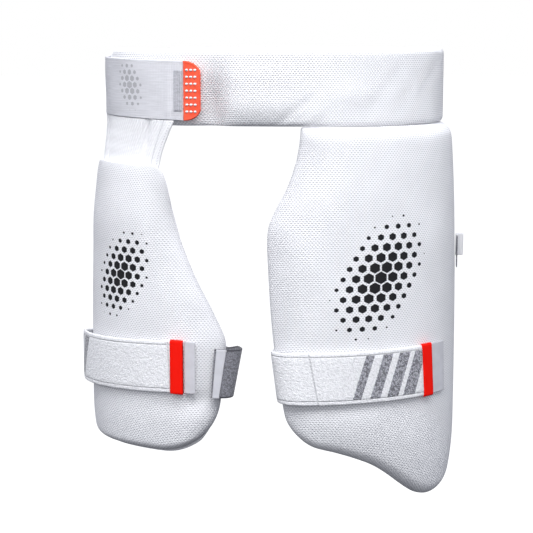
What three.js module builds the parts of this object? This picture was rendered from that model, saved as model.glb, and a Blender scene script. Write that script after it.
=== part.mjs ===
// Thigh guard for batting: a padded waist band with a closure tab, a large guard hung on the
// right of the band, a small guard hung from a knit hanger on the left, and a strap round each thigh.
// Millimetres, +Z up, the wearer's front toward -Y. The origin is the middle of the waist loop,
// at half the height of the band.
import * as THREE from 'three';

// Body form that every piece lies on: an oval section that widens below the band
const waistHalfWidth = 155;
const waistHalfDepth = 100;
const leftFlare = 15;
const rightFlare = 7.5;
const flareReach = 80;

// Clearance between pieces that lie on or against each other
const seat = 0.4;
const strapSeat = 0.6;

// Waist band
const bandHeight = 70;
const bandThickness = 9;
const bandEdgeRadius = 5;
const bandEndRadius = 32;
const bandEdgeShare = 0.15;
const bandFrontEnd = 196;
const bandGap = 74;

// Closure tab, its stitched bar and the pull badge, measured along the girth from the front
const tabWidth = 55;
const tabThickness = 2.4;
const tabEnd = 82;
const tabSeam = 22;
const tabSlant = 2.4;
const barWidth = 8;
const barHeight = 37;
const barThickness = 0.8;
const barInset = 0.3;
const badgeLength = 15.4;
const badgeThickness = 3.2;
const badgeBow = 0.42;
const badgeBowPower = 2.4;

// Knit hanger between the band and the small guard
const hangerThickness = 1.8;
const hangerTopEdge = 91.5;
const hangerInset = 14.5;
const hangerRearEdge = 214;
const hangerTuck = 14;
const hangerFoldDepth = 1.2;
const hangerFolds = 2;
const hangerClearance = 0.8;

// Large guard
const largeThickness = 18;
const largeRoll = 12;
const largeFront = -8.4;
const largeGirth = 234;
const largeHeight = 365;

// Small guard and its backing panel
const smallThickness = 16;
const smallRoll = 8;
const smallTop = 72;
const smallFront = 44.4;
const smallGirth = 167;
const smallHeight = 275;
const backingThickness = 2;
const backingMargin = 2.5;
const guardRim = 3;

// Mesh stations: across and down each guard between its rolled edges, and along each other piece
const largeColumns = 16;
const largeRows = 20;
const smallColumns = 12;
const smallRows = 15;
const bandColumns = 48;
const bandRows = 2;
const tabColumns = 26;
const badgeColumns = 6;
const hangerRows = 7;
const hangerColumns = 12;
const strapFaceSteps = 11;
const strapFoldSteps = 6;
const strapLoopSteps = 4;
const elasticTurnSteps = 2;
const patchSteps = 2;
const webbingTurnSteps = 6;
const rimShares = [0, 0.12, 0.45];

// Thigh straps
const strapWidth = 50;
const strapThickness = 3;
const elasticThickness = 2;
const elasticWidth = 47;
const elasticLevel = -265.5;
const largeStrapLevel = -269.5;
const largeStrapEndShare = 0.572;
const largeEndLean = 0.07;
const largePatchLean = 0.05;
const largeLeanFade = 4;
const largeLoopDepth = 76;
const smallStrapLevel = -264;
const smallStrapEnd = 85.6;
const smallLoopDepth = 72;
const elasticLean = -0.19;
const elasticLeanStart = 0.4;
const elasticLeanStep = 1 / 6;
const elasticLeanFade = 3;
const smallStrapRise = 8;
const smallStrapLevelAt = 0.4;
const strapSideSlack = 5;
const strapSlackPower = 3;
const strapBackDrop = 16;
const elasticReach = 14;
const bindingWidth = 10;
const bindingMargin = 1.2;
const bindingThickness = 3.8;
const bindingLift = 0.2;
const patchGap = 1.4;
const patchThickness = 1;
const largePatchWidth = 17.5;
const smallPatchWidth = 9;
const anchorWidth = 11;

// Webbing tab at the side of the large guard
const sideTabShare = 0.899;
const sideTabTop = -147;
const sideTabHeight = 22;
const sideTabReach = 7.5;
const webbing = 1.4;
const webbingGap = 0.8;

const bandHalf = bandHeight / 2;
const tabStandoff = bandThickness + seat;
const largeStrapEnd = largeFront + largeGirth * largeStrapEndShare;
const sideTabGirth = largeFront + largeGirth * sideTabShare;

// Front edge of the large guard: share of that edge's height, share of the girth it is set back
const largeFrontEdge = [
  { down: 0, back: 0.13 },
  { down: 0.06, back: 0.122 },
  { down: 0.12, back: 0.106 },
  { down: 0.2, back: 0.071 },
  { down: 0.26, back: 0.033 },
  { down: 0.31, back: 0.007 },
  { down: 0.36, back: 0 },
  { down: 0.42, back: 0.002 },
  { down: 0.6, back: 0.014 },
  { down: 0.72, back: 0.028 },
  { down: 0.89, back: 0.057 },
  { down: 1, back: 0.083 },
];

// Lower edge of the large guard: share of the girth, share of the height it reaches down to
const largeLowerEdge = [
  { along: 0, reach: 0.8 },
  { along: 0.1, reach: 0.832 },
  { along: 0.19, reach: 0.849 },
  { along: 0.27, reach: 0.867 },
  { along: 0.36, reach: 0.892 },
  { along: 0.43, reach: 0.92 },
  { along: 0.51, reach: 0.957 },
  { along: 0.58, reach: 0.985 },
  { along: 0.64, reach: 0.998 },
  { along: 0.7, reach: 1 },
  { along: 0.76, reach: 0.994 },
  { along: 0.83, reach: 0.975 },
  { along: 0.9, reach: 0.94 },
  { along: 1, reach: 0.875 },
];

const smallFrontEdge = [
  { down: 0, back: 0.337 },
  { down: 0.06, back: 0.318 },
  { down: 0.1, back: 0.309 },
  { down: 0.17, back: 0.294 },
  { down: 0.245, back: 0.26 },
  { down: 0.32, back: 0.213 },
  { down: 0.4, back: 0.155 },
  { down: 0.47, back: 0.095 },
  { down: 0.525, back: 0.053 },
  { down: 0.583, back: 0.01 },
  { down: 0.62, back: 0 },
  { down: 0.72, back: 0.016 },
  { down: 0.8, back: 0.028 },
  { down: 1, back: 0.036 },
];

const smallLowerEdge = [
  { along: 0, reach: 0.996 },
  { along: 0.5, reach: 1 },
  { along: 0.83, reach: 1 },
  { along: 1, reach: 0.98 },
];

// How far the small guard's back stands off the form for the hanger tucked behind its top
const smallBackRise = [
  { down: 0, share: 1 },
  { down: 0.06, share: 0.97 },
  { down: 0.12, share: 0.6 },
  { down: 0.19, share: 0.12 },
  { down: 0.24, share: 0 },
  { down: 1, share: 0 },
];

// Standoff of the hanger's outer face from the form, as a share of the tab's outer face
const hangerFace = [
  { down: 0, share: 0.93 },
  { down: 0.1, share: 0.93 },
  { down: 0.35, share: 0.85 },
  { down: 0.7, share: 0.78 },
  { down: 1, share: 0.73 },
];

// Plan points of each strap behind the thigh: shares of the loop's width and depth
const largeLoopBack = [
  { across: 0.012, back: -0.66 },
  { across: 0.045, back: 0.0 },
  { across: 0.16, back: 0.6 },
  { across: 0.52, back: 1 },
  { across: 0.88, back: 0.76 },
];

const smallElasticBack = [
  { across: 0.083, back: -1.1 },
  { across: 0.143, back: -0.5 },
  { across: 0.184, back: 0.07 },
  { across: 0.31, back: 0.7 },
  { across: 0.53, back: 1 },
  { across: 0.62, back: 0.99 },
];

const smallStrapBack = [
  { across: 0.98, back: 0.4 },
  { across: 0.83, back: 0.84 },
  { across: 0.62, back: 1.035 },
  { across: 0.53, back: 1.045 },
];

// Elastic turning round the small guard's front edge: shares of its reach and the guard's thickness
const elasticTurn = [
  { beyond: -0.25, standoff: 0.96 },
  { beyond: 0.1, standoff: 1.06 },
  { beyond: 0.5, standoff: 1.02 },
  { beyond: 0.82, standoff: 0.78 },
  { beyond: 0.93, standoff: 0.42 },
  { beyond: 0.8, standoff: 0.05 },
  { beyond: 0.5, standoff: -0.3 },
];

// Smooth curve through the rows of a table, returned as a function
function throughRows(rows, input, output) {
  const slopes = rows.map((row, i) => {
    const before = rows[Math.max(i - 1, 0)];
    const after = rows[Math.min(i + 1, rows.length - 1)];
    return (after[output] - before[output]) / (after[input] - before[input]);
  });
  return (value) => {
    let i = 0;
    while (i < rows.length - 2 && value > rows[i + 1][input]) {
      i += 1;
    }
    const span = rows[i + 1][input] - rows[i][input];
    const t = THREE.MathUtils.clamp((value - rows[i][input]) / span, 0, 1);
    const rise = rows[i + 1][output] - rows[i][output];
    const start = slopes[i] * span - rise;
    const end = rise - slopes[i + 1] * span;
    return rows[i][output] + rise * t + t * (1 - t) * (start * (1 - t) + end * t);
  };
}

// Cumulative length round the waist section, measured from the front centre line
const arcSteps = 1440;
const arcLengths = [0];
for (let i = 1; i <= arcSteps; i += 1) {
  const angle = (i - 0.5) * 2 * Math.PI / arcSteps;
  const step = Math.hypot(waistHalfWidth * Math.cos(angle), waistHalfDepth * Math.sin(angle));
  arcLengths.push(arcLengths[i - 1] + step * 2 * Math.PI / arcSteps);
}
const waistGirth = arcLengths[arcSteps];

// Angle from the front centre line, positive to the right, at a distance along the girth
function girthAngle(girth) {
  const length = Math.abs(girth);
  let low = 0;
  let high = arcSteps;
  while (high - low > 1) {
    const middle = Math.floor((low + high) / 2);
    if (arcLengths[middle] > length) {
      high = middle;
    } else {
      low = middle;
    }
  }
  const part = (length - arcLengths[low]) / (arcLengths[high] - arcLengths[low]);
  return Math.sign(girth) * (low + part) * 2 * Math.PI / arcSteps;
}

// Point of a cloth pattern laid on the form: girth distance, height and standoff from the form
function onForm(girth, height, standoff) {
  const angle = girthAngle(girth);
  const drop = Math.max(-height - bandHalf, 0);
  const widened = 1 - Math.exp(-drop / flareReach);
  const rightShare = (1 + Math.sin(angle)) / 2;
  const flare = (leftFlare + (rightFlare - leftFlare) * rightShare) * widened;
  return new THREE.Vector3(
    (waistHalfWidth + flare + standoff) * Math.sin(angle),
    -(waistHalfDepth + standoff) * Math.cos(angle),
    height,
  );
}

// Rounded profile of a padded edge: 0 at the edge, 1 once past the roll
function roll(distance, radius) {
  const t = 1 - Math.min(distance / radius, 1);
  return Math.sqrt(1 - t * t);
}

// Stations along a length, close together in the roll at each end
function rimStations(length, radius, inner) {
  const rim = rimShares.map((share) => share * radius);
  const middle = [];
  for (let i = 0; i <= inner; i += 1) {
    middle.push(radius + (length - 2 * radius) * i / inner);
  }
  return [...rim, ...middle, ...rim.map((at) => length - at).reverse()];
}

function evenStations(from, to, steps) {
  return Array.from({ length: steps + 1 }, (_, i) => from + (to - from) * i / steps);
}

// Closed solid between two grids of points: an outer face, an inner face and the four edges
function thickSheet(outer, inner) {
  const rows = outer.length;
  const columns = outer[0].length;
  const positions = [];
  for (const grid of [outer, inner]) {
    for (const row of grid) {
      for (const point of row) {
        positions.push(point.x, point.y, point.z);
      }
    }
  }
  const top = (i, j) => i * columns + j;
  const under = (i, j) => rows * columns + i * columns + j;
  const faces = [];
  const quad = (a, b, c, d) => faces.push(a, b, c, a, c, d);
  for (let i = 0; i < rows - 1; i += 1) {
    for (let j = 0; j < columns - 1; j += 1) {
      quad(top(i, j), top(i + 1, j), top(i + 1, j + 1), top(i, j + 1));
      quad(under(i, j), under(i, j + 1), under(i + 1, j + 1), under(i + 1, j));
    }
  }
  for (let i = 0; i < rows - 1; i += 1) {
    quad(top(i, 0), under(i, 0), under(i + 1, 0), top(i + 1, 0));
    quad(top(i + 1, columns - 1), under(i + 1, columns - 1), under(i, columns - 1), top(i, columns - 1));
  }
  for (let j = 0; j < columns - 1; j += 1) {
    quad(top(0, j + 1), under(0, j + 1), under(0, j), top(0, j));
    quad(top(rows - 1, j), under(rows - 1, j), under(rows - 1, j + 1), top(rows - 1, j + 1));
  }
  return outwardFaces(positions, faces);
}

// Geometry with its faces pointing out, whichever way its grid was laid
function outwardFaces(positions, faces) {
  const corner = (i) => new THREE.Vector3().fromArray(positions, faces[i] * 3);
  let volume = 0;
  for (let i = 0; i < faces.length; i += 3) {
    volume += corner(i).dot(corner(i + 1).cross(corner(i + 2)));
  }
  const ordered = volume < 0 ? faces.reverse() : faces;
  const geometry = new THREE.BufferGeometry();
  geometry.setAttribute('position', new THREE.Float32BufferAttribute(positions, 3));
  geometry.setIndex(ordered);
  geometry.computeVertexNormals();
  return geometry;
}

const guard = new THREE.Group();

function addPiece(name, geometry, color, roughness) {
  const material = new THREE.MeshStandardMaterial({ color, roughness, metalness: 0 });
  const mesh = new THREE.Mesh(geometry, material);
  mesh.name = name;
  guard.add(mesh);
}

// Sheet laid on the form: a row for each girth station, a column for each row of its section
function formSheet(girths, section, face) {
  const grid = (side) => girths.map((girth) => section.map((row) => face(girth, row, side)));
  return thickSheet(grid('outer'), grid('inner'));
}

// Waist band, padded, with rounded edges and rounded ends
function waistBand() {
  const start = -bandFrontEnd;
  const length = waistGirth - bandGap;
  const girths = rimStations(length, bandEndRadius, bandColumns).map((at) => start + at);
  const across = rimStations(bandHeight, bandEdgeRadius, bandRows);
  return formSheet(girths, across, (girth, at, side) => {
    const fromEnd = Math.min(girth - start, start + length - girth);
    const cut = bandEndRadius * (1 - roll(fromEnd, bandEndRadius));
    const half = bandHalf - cut;
    const height = half * (at / bandHalf - 1);
    const edge = Math.min(at, bandHeight - at);
    const padding = Math.min(roll(edge, bandEdgeRadius), roll(fromEnd, bandEdgeRadius));
    const depth = bandThickness * (bandEdgeShare + (1 - bandEdgeShare) * padding) / 2;
    const standoff = bandThickness / 2 + (side === 'outer' ? depth : -depth);
    return onForm(girth, height, standoff);
  });
}

// Height of the middle of the closure tab, which slants down toward its front end
function tabMiddle(girth) {
  return -tabSlant * (girth + waistGirth / 4) / (waistGirth / 4 - tabEnd);
}

// Section of a flat tape: shares of its half width, and of its thickness there
const tapeSection = [
  { across: -1, thick: 0.5 },
  { across: -0.96, thick: 1 },
  { across: 0.96, thick: 1 },
  { across: 1, thick: 0.5 },
];

// Flat piece laid on the closure tab or in line with it
function tabPiece(from, to, steps, halfHeight, standoff, thickness) {
  return formSheet(evenStations(from, to, steps), tapeSection, (girth, { across, thick }, side) => {
    const depth = thickness * (1 - thick) / 2;
    const face = side === 'outer' ? thickness - depth : depth;
    return onForm(girth, tabMiddle(girth) + across * halfHeight(girth), standoff + face);
  });
}

const tabStart = -(bandFrontEnd + bandGap + tabSeam);

function closureTab() {
  return tabPiece(tabStart, -tabEnd, tabColumns, () => tabWidth / 2, tabStandoff, tabThickness);
}

function tabBar() {
  const standoff = tabStandoff + tabThickness + seat;
  const end = -tabEnd - barInset;
  return tabPiece(end - barWidth, end, 1, () => barHeight / 2, standoff, barThickness);
}

// D-shaped badge: straight against the tab, bowed at its free side
function pullBadge() {
  const start = -tabEnd + seat;
  const bow = (girth) => badgeBow * ((girth - start) / badgeLength) ** badgeBowPower;
  const half = (girth) => tabWidth / 2 * (1 - bow(girth));
  return tabPiece(start, start + badgeLength, badgeColumns, half, tabStandoff, badgeThickness);
}

const hangerShare = throughRows(hangerFace, 'down', 'share');

// Ribbed knit sheet from under the tab to behind the top of the small guard
function knitHanger() {
  const tabUnder = (girth) => tabMiddle(girth) - tabWidth / 2 - seat;
  const bottom = -(smallTop + hangerTuck);
  const outerFace = tabStandoff + tabThickness;
  const downs = evenStations(0, 1, hangerRows);
  const alongs = evenStations(0, 1, hangerColumns);
  const grid = (side) => downs.map((down) => alongs.map((along) => {
    const front = -(hangerTopEdge + hangerInset * Math.sin(down * Math.PI / 2));
    const girth = front + (-hangerRearEdge - front) * along;
    const top = tabUnder(girth);
    const fold = (1 - Math.cos(along * hangerFolds * 2 * Math.PI)) / 2;
    const standoff = outerFace * hangerShare(down) - hangerFoldDepth * Math.sin(down * Math.PI) * fold;
    const inward = side === 'outer' ? 0 : hangerThickness;
    return onForm(girth, top + (bottom - top) * down, standoff - inward);
  }));
  return thickSheet(grid('outer'), grid('inner'));
}

// Square corner of a pattern turned into a round one: distances from the two edges in and out
function roundCorner(first, second, radius) {
  const p = radius - first;
  const q = radius - second;
  if (p <= 0 || q <= 0) {
    return [first, second];
  }
  const limit = 2 * radius * radius;
  return [radius - p * Math.sqrt(1 - q * q / limit), radius - q * Math.sqrt(1 - p * p / limit)];
}

// A guard is a pattern of its own girth and height, laid to one side from its front line
const largeGuard = {
  side: 1,
  front: largeFront,
  top: bandHalf + seat,
  girth: largeGirth,
  height: largeHeight,
  corners: { topFront: 3, topRear: 28, lowerFront: 24, lowerRear: 45 },
  frontEdge: throughRows(largeFrontEdge, 'down', 'back'),
  lowerEdge: throughRows(largeLowerEdge, 'along', 'reach'),
};

const smallGuard = {
  side: -1,
  front: -smallFront,
  top: smallTop,
  girth: smallGirth,
  height: smallHeight,
  corners: { topFront: 9, topRear: 38, lowerFront: 55, lowerRear: 34 },
  frontEdge: throughRows(smallFrontEdge, 'down', 'back'),
  lowerEdge: throughRows(smallLowerEdge, 'along', 'reach'),
};

// Girth and height of a pattern point given by its distances from the front and the top
function patternPoint(pattern, fromFront, fromTop) {
  const { girth, height, corners } = pattern;
  let [a, b] = roundCorner(fromFront, fromTop, corners.topFront);
  let [rear, top] = roundCorner(girth - a, b, corners.topRear);
  let [rearLow, low] = roundCorner(rear, height - top, corners.lowerRear);
  [a, b] = roundCorner(girth - rearLow, low, corners.lowerFront);
  const u = a / girth;
  const v = 1 - b / height;
  const setBack = pattern.frontEdge(v);
  return {
    girth: pattern.front + pattern.side * girth * (setBack + u * (1 - setBack)),
    height: -pattern.top - height * v * pattern.lowerEdge(u),
  };
}

// Girth of a guard's front edge at a height
function frontEdgeAt(pattern, height) {
  const down = (-height - pattern.top) / (pattern.height * pattern.lowerEdge(0));
  return pattern.front + pattern.side * pattern.girth * pattern.frontEdge(down);
}

const smallBase = throughRows(smallBackRise, 'down', 'share');
const hangerDrop = smallTop + hangerTuck - tabWidth / 2;
const hangerAtGuard = hangerShare(1 - hangerTuck / hangerDrop);
const guardTopStandoff = (tabStandoff + tabThickness) * hangerAtGuard + hangerClearance;

// Standoff of the small guard's back from the form at a height
function smallBackStandoff(height) {
  return guardTopStandoff * smallBase((-height - smallTop) / smallHeight);
}

// Foam guard: flat against the form at the back, rolled at every edge in front
function foamGuard(pattern, thickness, radius, fronts, tops, back) {
  const grid = (side) => tops.map((fromTop) => fronts.map((fromFront) => {
    const at = patternPoint(pattern, fromFront, fromTop);
    const base = back(at.height);
    const across = roll(Math.min(fromFront, pattern.girth - fromFront), radius);
    const down = roll(Math.min(fromTop, pattern.height - fromTop), radius);
    const padding = guardRim + (thickness - base - guardRim) * across * down;
    return onForm(at.girth, at.height, base + (side === 'outer' ? padding : 0));
  }));
  return thickSheet(grid('outer'), grid('inner'));
}

const backingTop = hangerTuck + seat;
const smallFronts = rimStations(smallGirth, smallRoll, smallColumns);
const smallTops = [...rimStations(smallHeight, smallRoll, smallRows), backingTop].sort((a, b) => a - b);

// Thin panel behind the small guard, which shows below the foam's lower edge
function guardBacking() {
  const fronts = smallFronts.slice(1, -1);
  const tops = smallTops.filter((at) => at >= backingTop);
  const grid = (side) => tops.map((fromTop) => fronts.map((fromFront) => {
    const at = patternPoint(smallGuard, fromFront, fromTop);
    const height = at.height - backingMargin * fromTop / smallHeight;
    const front = smallBackStandoff(at.height) - seat;
    return onForm(at.girth, height, side === 'outer' ? front : front - backingThickness);
  }));
  return thickSheet(grid('outer'), grid('inner'));
}

// Sideways shift along the girth to the right, as of a strap for each millimetre down
function leanAlong(girth, lean) {
  const tangent = onForm(girth + 1, 0, 0).sub(onForm(girth - 1, 0, 0)).normalize();
  return tangent.multiplyScalar(lean);
}

// Strap along a centre line of stations, each with its place in plan, its height and its lean
function strapSweep(stations, width, thickness) {
  const grid = (side) => stations.map((station, i) => {
    const before = stations[Math.max(i - 1, 0)].place;
    const after = stations[Math.min(i + 1, stations.length - 1)].place;
    const along = new THREE.Vector3(after.x - before.x, after.y - before.y, 0).normalize();
    const across = new THREE.Vector3(along.y, -along.x, 0);
    const depth = side * thickness / 2;
    return tapeSection.map((row) => {
      const up = row.across * width / 2;
      const point = station.place.clone().addScaledVector(across, depth * row.thick);
      point.addScaledVector(station.lean, -up);
      point.z = station.height + up;
      return point;
    });
  });
  return thickSheet(grid(1), grid(-1));
}

// Smooth curve through points, with a number of steps to each of its spans
function planCurve(points, spanSteps) {
  const curve = new THREE.CatmullRomCurve3(points, false, 'centripetal');
  return curve.getPoints(spanSteps * (points.length - 1));
}

// Points of a strap's loop behind the thigh, between its two ends in plan
function loopPoints(rows, front, far, depth, height) {
  return rows.map(({ across, back }) => (
    new THREE.Vector3(front + across * (far - front), back * depth, height)));
}

// Large guard's strap: over the guard's face, round its front edge and behind the thigh to its rear edge
function largeStrapStations() {
  const level = largeStrapLevel;
  const edge = frontEdgeAt(largeGuard, level);
  const upperEdge = frontEdgeAt(largeGuard, level + strapWidth / 2);
  const lowerEdge = frontEdgeAt(largeGuard, level - strapWidth / 2);
  const edgeLean = (lowerEdge - upperEdge) / strapWidth;
  const half = strapThickness / 2 + strapSeat;
  const face = largeThickness + half;
  const turn = edge + largeRoll;
  const stations = evenStations(largeStrapEnd, turn, strapFaceSteps).map((girth) => ({
    place: onForm(girth, level, face),
    height: level,
    lean: leanAlong(girth, THREE.MathUtils.mapLinear(girth, largeStrapEnd, turn, largeEndLean, edgeLean)),
  }));
  const fold = evenStations(0, Math.PI / 2, strapFoldSteps).slice(1);
  for (const angle of fold) {
    const girth = turn - (largeRoll + half) * Math.sin(angle);
    const standoff = guardRim + (face - guardRim) * Math.cos(angle);
    stations.push({ place: onForm(girth, level, standoff), height: level, lean: leanAlong(0, edgeLean) });
  }
  const foldEnd = stations[stations.length - 1].place;
  const rearGirth = largeGuard.front + largeGirth + strapSeat;
  const rearEnd = onForm(rearGirth, level, guardRim / 2);
  const rear = loopPoints(largeLoopBack, foldEnd.x, rearEnd.x, largeLoopDepth, level);
  const beforeFold = stations[stations.length - 2].place;
  const behind = planCurve([beforeFold, foldEnd, ...rear, rearEnd], strapLoopSteps);
  const hidden = behind.slice(strapLoopSteps + 1);
  hidden.forEach((place, i) => {
    const share = (i + 1) / hidden.length;
    const lowered = strapBackDrop * Math.sin(share * Math.PI);
    const lean = leanAlong(0, edgeLean * Math.max(1 - share * largeLeanFade, 0));
    stations.push({ place, height: level - lowered, lean });
  });
  return stations;
}

// Height of the small guard's strap along the girth, rising toward its free end
function smallStrapHeight(girth) {
  const share = (-girth - smallStrapEnd) / (waistGirth / 4 - smallStrapEnd);
  return smallStrapLevel + smallStrapRise * (smallStrapLevelAt - THREE.MathUtils.clamp(share, 0, 1));
}

const elasticEdge = frontEdgeAt(smallGuard, elasticLevel);
const strapSide = -waistGirth / 4;
const smallStrapFace = smallThickness + strapSeat + strapThickness / 2;
const smallLoopFront = onForm(elasticEdge + elasticReach, elasticLevel, 0).x;
const smallLoopFar = onForm(strapSide, elasticLevel, smallStrapFace + strapSideSlack).x;

// White strap of the small guard: over its face, round its rear side and to the back of the thigh
function smallStrapStations() {
  const stations = evenStations(-smallStrapEnd, strapSide, strapFaceSteps).map((girth) => {
    const share = (-girth - smallStrapEnd) / (-strapSide - smallStrapEnd);
    const slack = strapSideSlack * share ** strapSlackPower;
    const height = smallStrapHeight(girth);
    const place = onForm(girth, height, smallStrapFace + slack);
    return { place, height, lean: leanAlong(girth, 0) };
  });
  const last = stations[stations.length - 1];
  const rear = loopPoints(smallStrapBack, smallLoopFront, smallLoopFar, smallLoopDepth, last.height);
  const beforeLast = stations[stations.length - 2].place;
  const behind = planCurve([beforeLast, last.place, ...rear], strapLoopSteps);
  const hidden = behind.slice(strapLoopSteps + 1);
  hidden.forEach((place, i) => {
    const share = (i + 1) / hidden.length;
    const lowered = strapBackDrop * Math.sin(share * Math.PI / 2);
    stations.push({ place, height: last.height - lowered, lean: leanAlong(0, 0) });
  });
  return stations;
}

// Grey elastic of the small guard: from its face round its front edge and to the back of the thigh
function elasticStations() {
  const level = elasticLevel;
  const edge = elasticEdge;
  const turn = planCurve(elasticTurn.map(({ beyond, standoff }) => (
    onForm(edge + beyond * elasticReach, level, standoff * smallThickness))), elasticTurnSteps);
  const stations = turn.map((place, i) => ({
    place,
    height: level,
    lean: leanAlong(edge, elasticLean * Math.min(elasticLeanStart + elasticLeanStep * i, 1)),
  }));
  const last = stations[stations.length - 1].place;
  const rear = loopPoints(smallElasticBack, smallLoopFront, smallLoopFar, smallLoopDepth, level);
  const behind = planCurve([last, ...rear], strapLoopSteps).slice(1);
  behind.forEach((place, i) => {
    const share = (i + 1) / behind.length;
    const lowered = strapBackDrop * Math.sin(share * Math.PI / 2);
    const lean = leanAlong(edge, elasticLean * Math.max(1 - share * elasticLeanFade, 0));
    stations.push({ place, height: level - lowered, lean });
  });
  return stations;
}

// Flat patch or binding laid on a guard's face, along the girth
function facePatch(from, to, level, height, standoff, thickness, lean) {
  const stations = evenStations(from, to, patchSteps).map((girth) => ({
    place: onForm(girth, level, standoff + thickness / 2),
    height: level,
    lean: leanAlong(girth, lean),
  }));
  return strapSweep(stations, height, thickness);
}

// Red binding over a strap's end, centred on the strap's thickness
function endBinding(strapEnd, level, face, lean) {
  const from = strapEnd + seat;
  const standoff = face + strapSeat + (strapThickness - bindingThickness) / 2 + bindingLift;
  const height = strapWidth + 2 * bindingMargin;
  return facePatch(from, from + bindingWidth, level, height, standoff, bindingThickness, lean);
}

// Smooth strip beside a strap's red end, sewn to the guard's face
function facingPatch(strapEnd, width, level, face, lean) {
  const from = strapEnd + bindingWidth + patchGap;
  return facePatch(from, from + width, level, strapWidth, face + strapSeat, patchThickness, lean);
}

// Smooth strip sewn over the start of the elastic
function elasticAnchor() {
  const elastic = elasticStations();
  const sewn = elastic.filter(({ place }) => place.distanceTo(elastic[0].place) <= anchorWidth);
  const stations = sewn.map((station, i, all) => {
    const next = all[Math.min(i + 1, all.length - 1)].place;
    const before = all[Math.max(i - 1, 0)].place;
    const along = next.clone().sub(before).normalize();
    const outward = new THREE.Vector3(along.y, -along.x, 0);
    const lift = elasticThickness / 2 + seat + patchThickness / 2;
    return { ...station, place: station.place.clone().addScaledVector(outward, lift) };
  });
  return strapSweep(stations, elasticWidth, patchThickness);
}

// Folded webbing tab standing out from the side of the large guard
function sideTab() {
  const depth = 2 * webbing + webbingGap;
  const foot = onForm(sideTabGirth, sideTabTop, largeThickness + seat);
  const tangent = leanAlong(sideTabGirth, 1);
  const outline = new THREE.Shape();
  outline.moveTo(0, 0);
  outline.lineTo(sideTabReach - depth / 2, 0);
  outline.absarc(sideTabReach - depth / 2, depth / 2, depth / 2, -Math.PI / 2, Math.PI / 2, false);
  outline.lineTo(0, depth);
  outline.lineTo(0, depth - webbing);
  outline.lineTo(sideTabReach - depth / 2, depth - webbing);
  outline.lineTo(sideTabReach - depth / 2, webbing);
  outline.lineTo(0, webbing);
  outline.closePath();
  const geometry = new THREE.ExtrudeGeometry(outline, {
    depth: sideTabHeight,
    bevelEnabled: false,
    curveSegments: webbingTurnSteps,
  });
  geometry.translate(0, -depth / 2, sideTabTop - sideTabHeight);
  geometry.rotateZ(Math.atan2(tangent.y, tangent.x) - Math.PI / 2);
  geometry.translate(foot.x, foot.y, 0);
  return geometry;
}

const white = 0xf2f1f6;
const shadedWhite = 0xe6e5ea;
const lightGrey = 0xc9c8d0;
const midGrey = 0xa4a3ab;
const elasticGrey = 0x7a7a84;
const orange = 0xf95f46;
const red = 0xf01a0c;

addPiece('waist_band', waistBand(), white, 0.9);
addPiece('closure_tab', closureTab(), lightGrey, 0.8);
addPiece('tab_bar', tabBar(), midGrey, 0.8);
addPiece('pull_badge', pullBadge(), orange, 0.5);
addPiece('knit_hanger', knitHanger(), white, 0.9);
const largeFronts = rimStations(largeGirth, largeRoll, largeColumns);
const largeTops = rimStations(largeHeight, largeRoll, largeRows);
const smallFoam = foamGuard(
  smallGuard,
  smallThickness,
  smallRoll,
  smallFronts,
  smallTops,
  smallBackStandoff,
);
const smallEndLevel = smallStrapHeight(-smallStrapEnd);
const smallPatch = facingPatch(-smallStrapEnd, smallPatchWidth, smallEndLevel, smallThickness, 0);
const largeBinding = endBinding(largeStrapEnd, largeStrapLevel, largeThickness, largeEndLean);
const largePatch = facingPatch(
  largeStrapEnd,
  largePatchWidth,
  largeStrapLevel,
  largeThickness,
  largePatchLean,
);
const largeFoam = foamGuard(largeGuard, largeThickness, largeRoll, largeFronts, largeTops, () => 0);

addPiece('small_guard', smallFoam, white, 0.9);
addPiece('small_guard_backing', guardBacking(), shadedWhite, 0.9);
addPiece('small_strap', strapSweep(smallStrapStations(), strapWidth, strapThickness), shadedWhite, 0.95);
addPiece('small_strap_end', endBinding(-smallStrapEnd, smallEndLevel, smallThickness, 0), red, 0.6);
addPiece('small_strap_patch', smallPatch, lightGrey, 0.7);
addPiece('small_elastic', strapSweep(elasticStations(), elasticWidth, elasticThickness), elasticGrey, 0.9);
addPiece('small_elastic_anchor', elasticAnchor(), shadedWhite, 0.7);
addPiece('large_guard', largeFoam, white, 0.9);
addPiece('large_strap', strapSweep(largeStrapStations(), strapWidth, strapThickness), shadedWhite, 0.95);
addPiece('large_strap_end', largeBinding, red, 0.6);
addPiece('large_strap_patch', largePatch, lightGrey, 0.7);
addPiece('side_tab', sideTab(), white, 0.8);

export default guard;
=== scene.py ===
# %% [markdown]
# # Thigh guard for batting
#
# A padded band goes round the waist. A large foam guard hangs from its right side and a small one
# hangs on the left from a piece of ribbed knit. Each guard has a strap that goes round the thigh.
# The solids of the part are loaded first, and everything below is dressed over them.

# %% Load the solids
import math
import bmesh
import bpy
import numpy as np
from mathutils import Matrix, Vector


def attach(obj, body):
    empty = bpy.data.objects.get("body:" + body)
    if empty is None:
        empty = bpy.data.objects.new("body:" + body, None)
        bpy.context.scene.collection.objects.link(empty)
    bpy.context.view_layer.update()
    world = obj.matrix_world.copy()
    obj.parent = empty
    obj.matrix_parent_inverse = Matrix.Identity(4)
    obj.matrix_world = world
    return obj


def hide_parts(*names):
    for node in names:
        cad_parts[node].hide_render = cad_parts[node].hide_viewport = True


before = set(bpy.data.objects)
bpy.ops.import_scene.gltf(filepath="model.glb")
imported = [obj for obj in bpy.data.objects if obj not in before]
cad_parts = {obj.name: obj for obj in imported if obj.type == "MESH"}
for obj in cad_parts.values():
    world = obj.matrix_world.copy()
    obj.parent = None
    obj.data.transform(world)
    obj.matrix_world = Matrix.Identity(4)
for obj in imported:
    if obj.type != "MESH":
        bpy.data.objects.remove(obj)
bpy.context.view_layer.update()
scene = bpy.context.scene
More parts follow.
